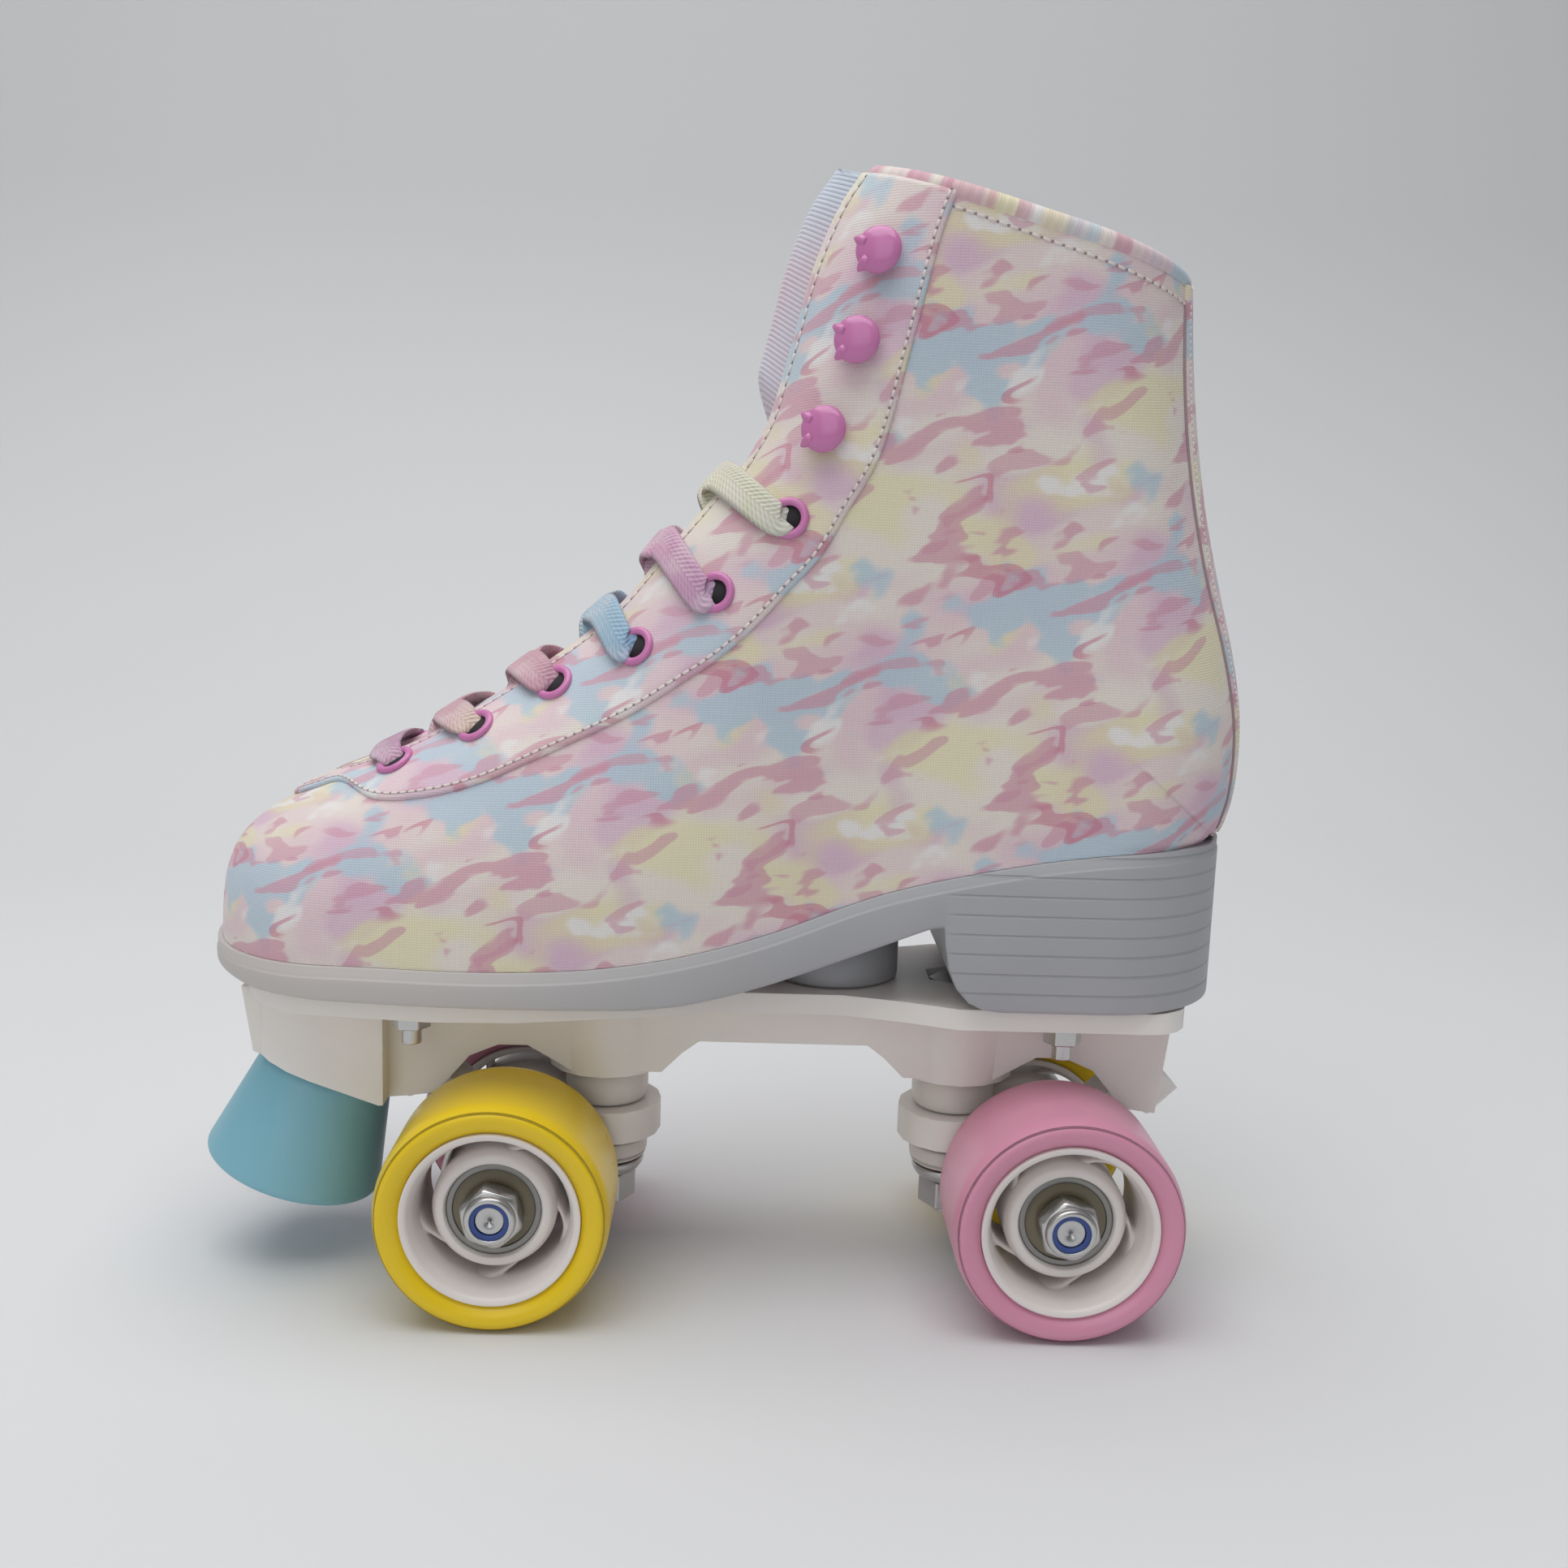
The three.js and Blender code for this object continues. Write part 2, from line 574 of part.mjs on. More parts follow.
/** Stitched-on strip along one side of the throat, with its eyelets. */
function eyeletStay(side) {
  const rings = [];
  const steps = 3;
  for (const s of throatSections) {
    if (s < THROAT_BASE + 0.5 || s > COLLAR) continue;
    const inner = depthAtY(s, throatHalfGap(s) + CLEARANCE);
    const outer = inner + 1.5 + (STAY_DEPTH - inner - 1.5) * Math.sqrt(ramp(s, THROAT_BASE - 1, 12));
    const under = [];
    const over = [];
    for (let k = 0; k <= steps; k += 1) {
      const depth = inner + (outer - inner) * (k / steps) ** 1.7;
      under.push(liftedPoint(s, depth, side, seatUnderStay).point);
      over.push(liftedPoint(s, depth, side, seatUnderStay + STAY_THICKNESS).point);
    }
    rings.push([...under, ...over.reverse()]);
  }
  let stay = loft(rings);
  eyeletRows.forEach(({ s, depth }) => {
    const from = liftedPoint(s, depth, side, seatUnderStay + 0.3).point;
    const to = liftedPoint(s, depth, side, seatUnderStay + STAY_THICKNESS + 0.7).point;
    stay = stay.add(rod(from, to, EYELET_DIAMETER / 2, 8));
  });
  for (const peg of eyeletPegs(side, EYELET_BORE / 2)) stay = stay.subtract(peg);
  return stay;
}

const TONGUE_START = 4.6;
const TONGUE_END = 26.1;
const tongueSections = [];
for (let s = TONGUE_START; s < 13; s += 1.2) tongueSections.push(s);
for (let s = 14; s < 26; s += 1.6) tongueSections.push(s);
tongueSections.push(TONGUE_END);

function tongue() {
  const rings = [];
  const across = [-1, -0.75, -0.5, -0.25, 0, 0.25, 0.5, 0.75, 1];
  for (const s of tongueSections) {
    const { top, along } = sectionEnds(s, 0);
    const proud = 4 * ramp(s, 15.5, 19);
    const laced = 1 - ramp(s, 17, 19);
    const under = BOOT_WALL + facetScale * (TONGUE_ROOM + (LACE_ROOM - TONGUE_ROOM) * laced);
    const reach = TONGUE_HALF_WIDTH * Math.min(1, 0.55 + 0.12 * (s - TONGUE_START));
    const edge = throatHalfGap(s) - 1.2;
    const point = (share, sink) => {
      const y = share * reach;
      const raise = (under + proud) * ramp(Math.abs(y), edge, edge - 7) * ramp(s, 15.5, 19);
      const depth = depthAtY(s, Math.abs(y), under) - raise + sink;
      const x = top.x + along.x * depth;
      return new THREE.Vector3(x, middleY(x) + y, top.y + along.y * depth);
    };
    const front = across.map((share) => point(share, 0));
    const back = across.map((share) => point(share, TONGUE_THICKNESS)).reverse();
    rings.push([...front, ...back]);
  }
  return loft(rings);
}

/** Plan outline that follows the foot, standing out by a lip, or in if it is negative. */
function footPlan(lip) {
  const left = [];
  const right = [];
  const steps = 26;
  const rear = heelBackX + HEEL_TUCK - lip + 0.1;
  const front = toeTipX + lip - 0.1;
  for (let k = 0; k <= steps; k += 1) {
    const x = rear + (front - rear) * (1 - Math.cos(Math.PI * k / steps)) / 2;
    const back = rounded(x - heelBackX - HEEL_TUCK + lip, HEEL_ROUNDING + lip, 2);
    const half = footHalfWidth(x, -lip) * back;
    left.push([x, middleY(x) + half]);
    right.push([x, middleY(x) - half]);
  }
  return [...left, ...right.reverse()];
}

function outsole() {
  const breastX = heelBackX + 3 + HEEL_BLOCK_LENGTH;
  const bottom = plateTop + CLEARANCE;
  const edge = [...featherPoints].reverse();
  const topEdge = [[toeTipX + 4, edge[0][1]], ...edge, [heelBackX - 5, edge[edge.length - 1][1]]]
    .map(([x, z]) => [x, z - CLEARANCE]);
  const archEnd = lastX(136);
  const underside = [
    [heelBackX - 5, bottom], [breastX - 12, bottom], [breastX - 5, bottom + 1.5],
    [breastX - 1, bottom + 6], [breastX, bottom + 10], [breastX, lastZ(19)],
    [lastX(75), lastZ(18)], [lastX(85), lastZ(14.6)], [lastX(102), lastZ(8.8)],
    [lastX(120), lastZ(3.8)], [archEnd - 6, bottom + 0.9], [archEnd + 4, bottom], [toeTipX + 4, bottom],
  ];
  let sole = sideSlab([...topEdge, ...underside], 120);
  sole = sole.intersect(planSlab(footPlan(SOLE_LIP), bottom - 1, plateTop + 60));
  const postX = lastX(95);
  const underTop = sideSlab([...topEdge, [heelBackX - 5, bottom], [toeTipX + 4, bottom]], 120);
  const archPost = post(postX, 0, bottom, featherZ(postX) + 20, ARCH_POST_DIAMETER / 2, 16);
  sole = sole.add(archPost.intersect(underTop));
  for (const [x, y] of boltPlaces) {
    const top = featherZ(x);
    sole = sole.subtract(post(x, y, bottom - 1, top + 5, MOUNT_BOLT_DIAMETER / 2 + CLEARANCE, 12));
    const pocket = MOUNT_BOLT_HEAD_DIAMETER / 2 + CLEARANCE;
    sole = sole.subtract(post(x, y, top - MOUNT_BOLT_HEAD_HEIGHT - BOLT_HEAD_SINK, top + 5, pocket, 12));
  }
  return sole;
}

function insole() {
  const low = BOOT_WALL + 3 * CLEARANCE * facetScale ** 2;
  const upperEdge = [];
  const lowerEdge = [];
  const rear = lastX(22);
  for (const [x, z] of [[rear, featherZ(rear)], ...featherPoints.slice(2, -2)]) {
    upperEdge.push([x, z + low + INSOLE_THICKNESS]);
    lowerEdge.push([x, z + low]);
  }
  const band = sideSlab([...upperEdge, ...lowerEdge.reverse()], 110);
  const edgeIn = BOOT_WALL + INSOLE_EDGE_GAP * facetScale ** 2;
  return band.intersect(planSlab(footPlan(-edgeIn), plateTop - 5, plateTop + 80));
}

/** Speed hook: a round head on a neck and a base, on the skin's own normal. */
function speedHook(row, side) {
  const base = seatUnderStay + STAY_THICKNESS + CLEARANCE;
  const { point, normal } = liftedPoint(row.s, row.depth, side, base);
  const head = HOOK_HEAD_DIAMETER / 2;
  const profile = [
    [0, 0], [4, 0], [2, 1.2], [2, HOOK_HEIGHT - 3], [head, HOOK_HEIGHT - 2.2],
    [head * 0.75, HOOK_HEIGHT - 0.4], [0, HOOK_HEIGHT],
  ];
  const geometry = new THREE.LatheGeometry(profile.map(([r, h]) => new THREE.Vector2(r, h)), 10);
  const up = new THREE.Vector3(0, 1, 0);
  geometry.applyQuaternion(new THREE.Quaternion().setFromUnitVectors(up, normal));
  geometry.translate(point.x, point.y, point.z);
  return solid(geometry);
}

// ---------------------------------------------------------------- lace
/** Point over the throat, by its share of the way across and its height above the ridge. */
function overThroat(s, y, height) {
  const { top, along } = sectionEnds(s, 0);
  const x = top.x - along.x * height;
  const point = new THREE.Vector3(x, middleY(x) + y, top.y - along.y * height);
  return { point, normal: new THREE.Vector3(-along.x, 0, -along.y) };
}

/** Control points of the lace from under one eyelet, across, and down the next one up. */
function laceCrossing(row, next, side, over) {
  const at = (share) => row.s + (next.s - row.s) * share;
  const gap = throatHalfGap(at(0.4));
  const edge = (s) => depthAtY(s, throatHalfGap(s) + 2);
  const between = (s, depth, share) => depth + (edge(s) - depth) * share;
  const beneath = -BOOT_WALL - 2;
  const above = seatUnderStay + STAY_THICKNESS + laceLift;
  const lift = over ? 1.2 : -0.9;
  const under = [0.05, 0.12, 0.19].map((share, k) => (
    liftedPoint(at(share), between(at(share), row.depth, 0.3 + 0.35 * k), -side, beneath)));
  const upon = [0.68, 0.84].map((share, k) => (
    liftedPoint(at(share), between(at(share), next.depth, 1 - 0.55 * k), side, above)));
  return [
    ...under,
    overThroat(at(0.24), -side * (gap - 1.6), -5.6),
    overThroat(at(0.29), -side * (gap - 4.4), over ? -1.6 : -3),
    overThroat(at(0.36), -side * (gap * 0.2), lift),
    overThroat(at(0.48), side * gap * 0.35, lift + 0.3),
    overThroat(at(0.58), side * (gap - 0.6), laceLift),
    ...upon,
    ...downEyelet(next, side),
  ];
}

/** From above an eyelet, down through it. */
function downEyelet(row, side) {
  return [[2.05 + laceLift, 2], [1.6, 0.2], [-1.6, 0], [-4.2, 0]].map(([lift, ahead]) => {
    const place = liftedPoint(row.s, row.depth - ahead, side, lift);
    return { ...place, inHole: true };
  });
}

/** From under the last eyelet, a tail tucked up between facing and tongue. */
function tuckedTail(row, side) {
  const lift = -BOOT_WALL - 3.3;
  return [0.3, 0.7, 1.1].map((further) => liftedPoint(row.s + further, row.depth - 3, side, lift));
}

/** One whole lace: the tucked tail, down one zigzag, the bottom bar, and up the other. */
function laceRoute() {
  const last = EYELET_PAIRS - 1;
  const climb = (startSide, over) => {
    const points = [];
    let side = -startSide;
    for (let i = 0; i < last; i += 1) {
      points.push(...laceCrossing(eyeletRows[i], eyeletRows[i + 1], side, over));
      side = -side;
    }
    points.push(...tuckedTail(eyeletRows[last], -side));
    return points;
  };
  const first = eyeletRows[0];
  const barEdge = depthAtY(first.s, throatHalfGap(first.s) + 2);
  const barPoint = (side) => liftedPoint(first.s, barEdge, side, seatUnderStay + STAY_THICKNESS + laceLift);
  const down = [...downEyelet(first, 1)].reverse();
  const bar = [...down, barPoint(1), overThroat(first.s, 0, 2.8), barPoint(-1), ...downEyelet(first, -1)];
  return [...climb(1, true).reverse(), ...bar, ...climb(-1, false)];
}

/** Flat band carried along the route, kept square to the surface it lies on. */
function lace() {
  const route = laceRoute();
  const rings = [];
  let before = null;
  route.forEach(({ point, normal, inHole }, i) => {
    const ahead = route[Math.min(i + 1, route.length - 1)].point;
    const behind = route[Math.max(i - 1, 0)].point;
    const along = new THREE.Vector3().subVectors(ahead, behind).normalize();
    const wide = inHole && before ? before.clone() : new THREE.Vector3().crossVectors(along, normal);
    wide.addScaledVector(along, -wide.dot(along)).normalize();
    if (before && before.dot(wide) < 0) wide.negate();
    before = wide.clone();
    const thick = new THREE.Vector3().crossVectors(along, wide).normalize();
    const half = (inHole ? LACE_WIDTH * 0.6 : LACE_WIDTH) / 2;
    const corner = (a, b) => point.clone().addScaledVector(wide, a * half)
      .addScaledVector(thick, b * LACE_THICKNESS / 2);
    rings.push([corner(1, 1), corner(-1, 1), corner(-1, -1), corner(1, -1)]);
  });
  return loft(rings);
}

// ---------------------------------------------------------------- plate
/** Flange outline: round nose, wide front, narrow waist, square-cornered rear. */
function flangeOutline() {
  const noseX = axleX + PLATE_NOSE_LENGTH;
  const tailX = -axleX - PLATE_TAIL_LENGTH;
  const [front, rear, waist] = [FLANGE_FRONT_WIDTH / 2, FLANGE_REAR_WIDTH / 2, FLANGE_WAIST_WIDTH / 2];
  const half = [
    ...arc(tailX + 10, rear - 10, 10, 180, 90, 4),
    [-axleX + 26, rear], [-kingPinX + 16, waist + 4], [-kingPinX + 30, waist],
    [kingPinX - 26, waist], [kingPinX - 12, waist + 5], [axleX - 4, front - 1], [axleX + 16, front],
    ...arc(noseX - front, 0, front, 62, 6, 7),
  ];
  return [...half, ...half.map(([x, y]) => [x, -y]).reverse()];
}

/** Side outline of the plate's spine under the flange, from the nose back to the tail. */
function spineOutline() {
  const top = flangeBottom + 1;
  const noseX = axleX + PLATE_NOSE_LENGTH;
  const tailX = -axleX - PLATE_TAIL_LENGTH;
  const tilt = Math.tan(THREE.MathUtils.degToRad(TOE_STOP_TILT));
  const stopX = axleX + TOE_STOP_OFFSET;
  const stopFace = (x) => plateTop - TOE_STOP_DROP + (x - stopX) * tilt + CLEARANCE;
  const archZ = 2 * wheelRadius + 3.5;
  const waistZ = plateTop - WAIST_DEPTH;
  return [
    [noseX - 0.5, top], [noseX - 3, stopFace(noseX - 3)], [stopX - 16, stopFace(stopX - 16)],
    [pivotX + 5, pivotZ - 6], [pivotX - 2, pivotZ - 5], [pivotX - 10, archZ - 3], [axleX + 3, archZ],
    [axleX - 4, archZ], [kingPinX + 8, bossBottom + 1], [kingPinX - 14, bossBottom + 1],
    [kingPinX - 19, waistZ - 3], [kingPinX - 23, waistZ],
    [-kingPinX + 23, waistZ], [-kingPinX + 19, waistZ - 3], [-kingPinX + 14, bossBottom + 1],
    [-kingPinX - 8, bossBottom + 1], [-axleX + 4, archZ], [-axleX - 3, archZ],
    [-pivotX + 10, archZ - 3], [-pivotX + 2, pivotZ - 5], [tailX + 3, pivotZ - 6], [tailX, top],
  ];
}

/** Front of the spine, wide enough for the toe stop, round in plan. */
function plateNose() {
  const noseX = axleX + PLATE_NOSE_LENGTH;
  const radius = PLATE_NOSE_WIDTH / 2;
  const backX0 = axleX + TOE_STOP_OFFSET - 17;
  const outline = [[backX0, -radius], ...arc(noseX - radius, 0, radius, -90, 90, 10), [backX0, radius]];
  const slab = planSlab(outline, 0, plateTop - 1);
  return slab.intersect(sideSlab(spineOutline(), PLATE_NOSE_WIDTH + 4));
}

const pivotAt = (end) => new THREE.Vector3(end * pivotX, 0, pivotZ);
const armDirection = (end) => new THREE.Vector3(end, 0, 1).normalize();

function plate() {
  const cupRadius = PIVOT_BALL_DIAMETER / 2 + PIVOT_CUP_WALL;
  let body = planSlab(flangeOutline(), flangeBottom, plateTop);
  body = body.add(sideSlab(spineOutline(), PLATE_BODY_WIDTH));
  body = body.add(plateNose());
  for (const end of [1, -1]) {
    const x = end * kingPinX;
    const alongArm = (distance) => pivotAt(end).addScaledVector(armDirection(end), distance);
    const bossTop = KING_PIN_BOSS_DIAMETER / 2;
    body = body.add(post(x, 0, bossBottom, flangeBottom + 1, bossTop - BOSS_TAPER, 16, bossTop));
    body = body.add(rod(alongArm(-2), alongArm(8), cupRadius + PIVOT_BOSS_WALL, 12));
    body = body.subtract(post(x, 0, 0, plateTop + 1, KING_PIN_DIAMETER / 2 + CLEARANCE, 12));
    body = body.subtract(post(x, 0, plateTop - KING_PIN_HEAD_POCKET, plateTop + 1, 9, 6));
    const seat = alongArm(PIVOT_BALL_DIAMETER / 2 + PIVOT_CUP_FLOOR + CLEARANCE);
    body = body.subtract(rod(alongArm(-16), seat, cupRadius + CLEARANCE + 0.1, 16));
  }
  const { top, axis } = toeStopFrame();
  const holeEnd = top.clone().addScaledVector(axis, -19);
  const boltHole = TOE_STOP_BOLT_DIAMETER / 2 + CLEARANCE;
  body = body.subtract(rod(top.clone().addScaledVector(axis, 5), holeEnd, boltHole, 12));
  for (const [x, y] of boltPlaces) {
    const hole = MOUNT_BOLT_DIAMETER / 2 + CLEARANCE;
    body = body.subtract(post(x, y, flangeBottom - 3, plateTop + 1, hole, 12));
  }
  return body;
}

function mountBolt(x, y) {
  const headBottom = featherZ(x) - MOUNT_BOLT_HEAD_HEIGHT - BOLT_HEAD_SINK + CLEARANCE;
  const headTop = headBottom + MOUNT_BOLT_HEAD_HEIGHT;
  const shank = post(x, y, mountBoltEnd, headBottom + 1, MOUNT_BOLT_DIAMETER / 2, 10);
  return shank.add(post(x, y, headBottom, headTop, MOUNT_BOLT_HEAD_DIAMETER / 2, 12));
}

function mountNut(x, y) {
  const body = planSlab(hexagon(MOUNT_NUT_FLATS, x, y), mountNutTop - MOUNT_NUT_HEIGHT, mountNutTop);
  return body.subtract(post(x, y, 0, plateTop, MOUNT_BOLT_DIAMETER / 2 + CLEARANCE, 10));
}

// ---------------------------------------------------------------- toe stop
function toeStopFrame() {
  const tilt = THREE.MathUtils.degToRad(TOE_STOP_TILT);
  const top = new THREE.Vector3(axleX + TOE_STOP_OFFSET, 0, plateTop - TOE_STOP_DROP);
  const axis = new THREE.Vector3(Math.sin(tilt), 0, -Math.cos(tilt));
  return { top, axis };
}

function toeStop() {
  const { top, axis } = toeStopFrame();
  const along = (distance) => top.clone().addScaledVector(axis, distance);
  const [topRadius, padRadius] = [TOE_STOP_TOP_DIAMETER / 2, TOE_STOP_PAD_DIAMETER / 2];
  const beyond = along(TOE_STOP_HEIGHT + 2);
  let stop = rod(along(CLEARANCE), along(TOE_STOP_HEIGHT), topRadius, 24, padRadius);
  stop = stop.subtract(rod(along(-2), beyond, TOE_STOP_BOLT_DIAMETER / 2 + CLEARANCE, 12));
  const recess = along(TOE_STOP_HEIGHT - TOE_STOP_RECESS);
  return stop.subtract(rod(recess, beyond, TOE_STOP_BOLT_DIAMETER + 0.5, 16));
}

function toeStopBolt() {
  const { top, axis } = toeStopFrame();
  const along = (distance) => top.clone().addScaledVector(axis, distance);
  const headTop = TOE_STOP_HEIGHT - TOE_STOP_RECESS + CLEARANCE;
  const headEnd = along(headTop + TOE_STOP_BOLT_HEAD_HEIGHT);
  const shank = rod(along(-17), along(headTop + 1), TOE_STOP_BOLT_DIAMETER / 2, 12);
  return shank.add(rod(along(headTop), headEnd, TOE_STOP_BOLT_DIAMETER * 0.8, 6));
}

// ---------------------------------------------------------------- trucks
/** Hanger: king-pin ring, web, axle barrel with its two ends, and the pivot arm and ball. */
function hanger(end) {
  const ringX = end * kingPinX;
  const barrelX = end * axleX;
  const sleeveEnd = innerBearingY - BEARING_WIDTH / 2 - CLEARANCE;
  const bar = (radius, reach) => turnedOnAxle(barProfile(radius, -reach, reach), barrelX, 12);
  const barrel = bar(BARREL_RADIUS, BARREL_LENGTH / 2);
  const sleeves = bar(SLEEVE_RADIUS, sleeveEnd);
  const web = sideSlab([
    [ringX + end * 9, ringTop - 0.5], [barrelX + end * 4, axleZ + 6], [barrelX + end * 2, axleZ - 3],
    [ringX + end * (RING_DIAMETER / 2 + 1), ringBottom - 2], [ringX + end * 9, ringBottom + 0.5],
  ], WEB_THICKNESS);
  const ball = pivotAt(end);
  const armFoot = new THREE.Vector3(barrelX + end * 1, 0, axleZ + 4);
  let body = post(ringX, 0, ringBottom, ringTop, RING_DIAMETER / 2, 16);
  body = body.add(barrel).add(sleeves).add(web).add(rod(armFoot, ball, ARM_FOOT_RADIUS, 8, ARM_END_RADIUS));
  const sphere = new THREE.SphereGeometry(PIVOT_BALL_DIAMETER / 2, 8, 6);
  body = body.add(solid(sphere.translate(ball.x, 0, ball.z)));
  body = body.subtract(post(ringX, 0, 0, plateTop, RING_HOLE_DIAMETER / 2, 12));
  return body.subtract(bar(BEARING_BORE / 2 + CLEARANCE, wheelOuterY));
}

function axle(end) {
  const tip = wheelOuterY - 1.8;
  return turnedOnAxle(barProfile(BEARING_BORE / 2 - 0.1, -tip, tip), end * axleX, 12);
}

function kingPin(end) {
  const x = end * kingPinX;
  const shank = post(x, 0, pinNutTop - KING_PIN_NUT_HEIGHT - 2, plateTop - 6, KING_PIN_DIAMETER / 2, 12);
  return shank.add(planSlab(hexagon(KING_PIN_NUT_FLATS, x, 0), plateTop - 6.6, plateTop - 0.6));
}

/** Urethane cushion, with a short spigot that seats in the hanger's ring. */
function cushion(end, low, high, spigotUp) {
  const bore = KING_PIN_DIAMETER / 2 + CLEARANCE;
  const spigot = RING_HOLE_DIAMETER / 2 - CLEARANCE;
  const outer = CUSHION_DIAMETER / 2;
  const waist = outer - 0.8;
  const middle = (low + high) / 2;
  const reach = 2.6;
  const barrel = [[waist, low], [outer, middle], [waist, high]];
  const above = [[spigot, high], [spigot, high + reach], [bore, high + reach]];
  const below = [[bore, low - reach], [spigot, low - reach], [spigot, low]];
  const profile = spigotUp ? [[bore, low], ...barrel, ...above] : [...below, ...barrel, [bore, high]];
  return turned([...profile, profile[0]], end * kingPinX, 0, 10);
}

function cupWasher(end) {
  const bore = KING_PIN_DIAMETER / 2 + CLEARANCE;
  const rim = CUP_WASHER_DIAMETER / 2;
  const low = cupTop - CUP_WASHER_HEIGHT;
  const profile = [
    [bore, low], [rim - 1.5, low], [rim, cupTop - 1.2], [rim, cupTop], [bore, cupTop], [bore, low],
  ];
  return turned(profile, end * kingPinX, 0, 12);
}

function kingPinNut(end) {
  const x = end * kingPinX;
  const body = planSlab(hexagon(KING_PIN_NUT_FLATS, x, 0), pinNutTop - KING_PIN_NUT_HEIGHT, pinNutTop);
  return body.subtract(post(x, 0, 0, plateTop, KING_PIN_DIAMETER / 2 + CLEARANCE, 12));
}

/** Cup that the hanger's ball turns in, pressed into the plate. */
function pivotCup(end) {
  const ball = pivotAt(end);
  const direction = armDirection(end);
  const along = (distance) => ball.clone().addScaledVector(direction, distance);
  const inner = PIVOT_BALL_DIAMETER / 2 + CLEARANCE;
  const floor = along(PIVOT_BALL_DIAMETER / 2 + PIVOT_CUP_FLOOR);
  const cup = rod(along(-3), floor, PIVOT_BALL_DIAMETER / 2 + PIVOT_CUP_WALL, 16);
  return cup.subtract(rod(along(-8), along(PIVOT_BALL_DIAMETER / 2), inner + 0.2, 12));
}

// ---------------------------------------------------------------- wheels
function tyre(end, side) {
  const flat = Math.cos(Math.PI / WHEEL_FACETS);
  const outer = wheelRadius / flat;
  const inner = wheelRadius - TYRE_THICKNESS;
  const [low, high] = [side * wheelInnerY, side * wheelOuterY];
  const round = TYRE_EDGE_ROUNDING * side;
  const profile = [
    [inner, low + side], [outer - 2, low], [outer, low + round],
    [outer, high - round], [outer - 2, high], [inner, high - side], [inner, low + side],
  ];
  return turnedOnAxle(profile, end * axleX);
}

const RIM_WALL_SHARE = 0.282;      // of the room between the bearing's seat and the tyre
const BARREL_WALL_SHARE = 0.235;

/** Hub: outer rim, web with five swirled windows, and the barrel that holds both bearings. */
function hub(end, side) {
  const rimOuter = wheelRadius - TYRE_THICKNESS - 0.5;
  const seat = BEARING_DIAMETER / 2 + 0.5;
  const room = rimOuter - seat;
  const rimInner = rimOuter - RIM_WALL_SHARE * room;
  const barrel = seat + BARREL_WALL_SHARE * room;
  const middle = side * (wheelInnerY + wheelOuterY) / 2;
  const reach = side * (WHEEL_WIDTH / 2 - 1);
  const barrelReach = side * (WHEEL_WIDTH / 2 - BEARING_RECESS);
  const shoulder = side * (WHEEL_WIDTH / 2 - BEARING_RECESS - BEARING_WIDTH) - side * CLEARANCE;
  const web = side * 4.5;
  const profile = [
    [seat - 2.4, middle - shoulder], [seat, middle - shoulder], [seat, middle - barrelReach],
    [barrel, middle - barrelReach], [barrel, middle - web], [rimInner, middle - web],
    [rimInner, middle - reach], [rimOuter, middle - reach], [rimOuter, middle + reach],
    [rimInner, middle + reach], [rimInner, middle + web], [barrel, middle + web],
    [barrel, middle + barrelReach], [seat, middle + barrelReach], [seat, middle + shoulder],
    [seat - 2.4, middle + shoulder], [seat - 2.4, middle - shoulder],
  ];
  let body = turnedOnAxle(profile, end * axleX, 12);
  for (let k = 0; k < 5; k += 1) {
    const start = 72 * k;
    const window = [
      ...arc(end * axleX, axleZ, barrel + room * 0.06, start + 36, start, 2),
      ...arc(end * axleX, axleZ, rimInner - room * 0.12, start + 24, start + 60, 1),
    ];
    body = body.subtract(sideSlab(window, 14, middle));
  }
  return body;
}

function bearing(end, y) {
  const [inner, outer, half] = [BEARING_BORE / 2 + CLEARANCE, BEARING_DIAMETER / 2, BEARING_WIDTH / 2];
  return turnedOnAxle(ringProfile(inner, outer, y - half, y + half), end * axleX, 12);
}

function axleNut(end, side) {
  const inside = wheelOuterY - BEARING_RECESS + CLEARANCE;
  const bore = BEARING_BORE / 2 + 0.1;
  const corner = AXLE_NUT_FLATS / Math.sqrt(3);
  const [low, high] = [side * inside, side * (inside + AXLE_NUT_HEIGHT)];
  const body = turnedOnAxle(barProfile(corner, low, high), end * axleX, 6);
  return body.subtract(turnedOnAxle(barProfile(bore, low - side, high + side), end * axleX, 12));
}

// ---------------------------------------------------------------- assembly
const CLOTH = 0xeed3dc;
const STAY_CLOTH = 0xf1d9e2;
const TONGUE_CLOTH = 0xd9e3ee;
const INSOLE_CLOTH = 0xe7e3df;
const LACE_COTTON = 0xcbb2d2;
const HUB_WHITE = 0xf2ece8;
const GREY_SOLE = 0x969698;
const NYLON = 0xece6e0;
const STEEL = 0xb9babb;
const LILAC = 0xb06a9c;
const YELLOW = 0xd2ad28;
const PINK = 0xc07f9e;
const BLUE = 0x6aa6b8;

addPiece('boot_upper', bootUpper(), CLOTH, 0.85);
addPiece('eyelet_stay_left', eyeletStay(1), STAY_CLOTH, 0.85);
addPiece('eyelet_stay_right', eyeletStay(-1), STAY_CLOTH, 0.85);
addPiece('tongue', tongue(), TONGUE_CLOTH, 0.9);
addPiece('insole', insole(), INSOLE_CLOTH, 0.95);
addPiece('outsole', outsole(), GREY_SOLE, 0.55);
addPiece('lace', lace(), LACE_COTTON, 0.9);
hookRows.forEach((row, i) => {
  addPiece(`speed_hook_left_${i + 1}`, speedHook(row, 1), LILAC, 0.35, 0.2);
  addPiece(`speed_hook_right_${i + 1}`, speedHook(row, -1), LILAC, 0.35, 0.2);
});

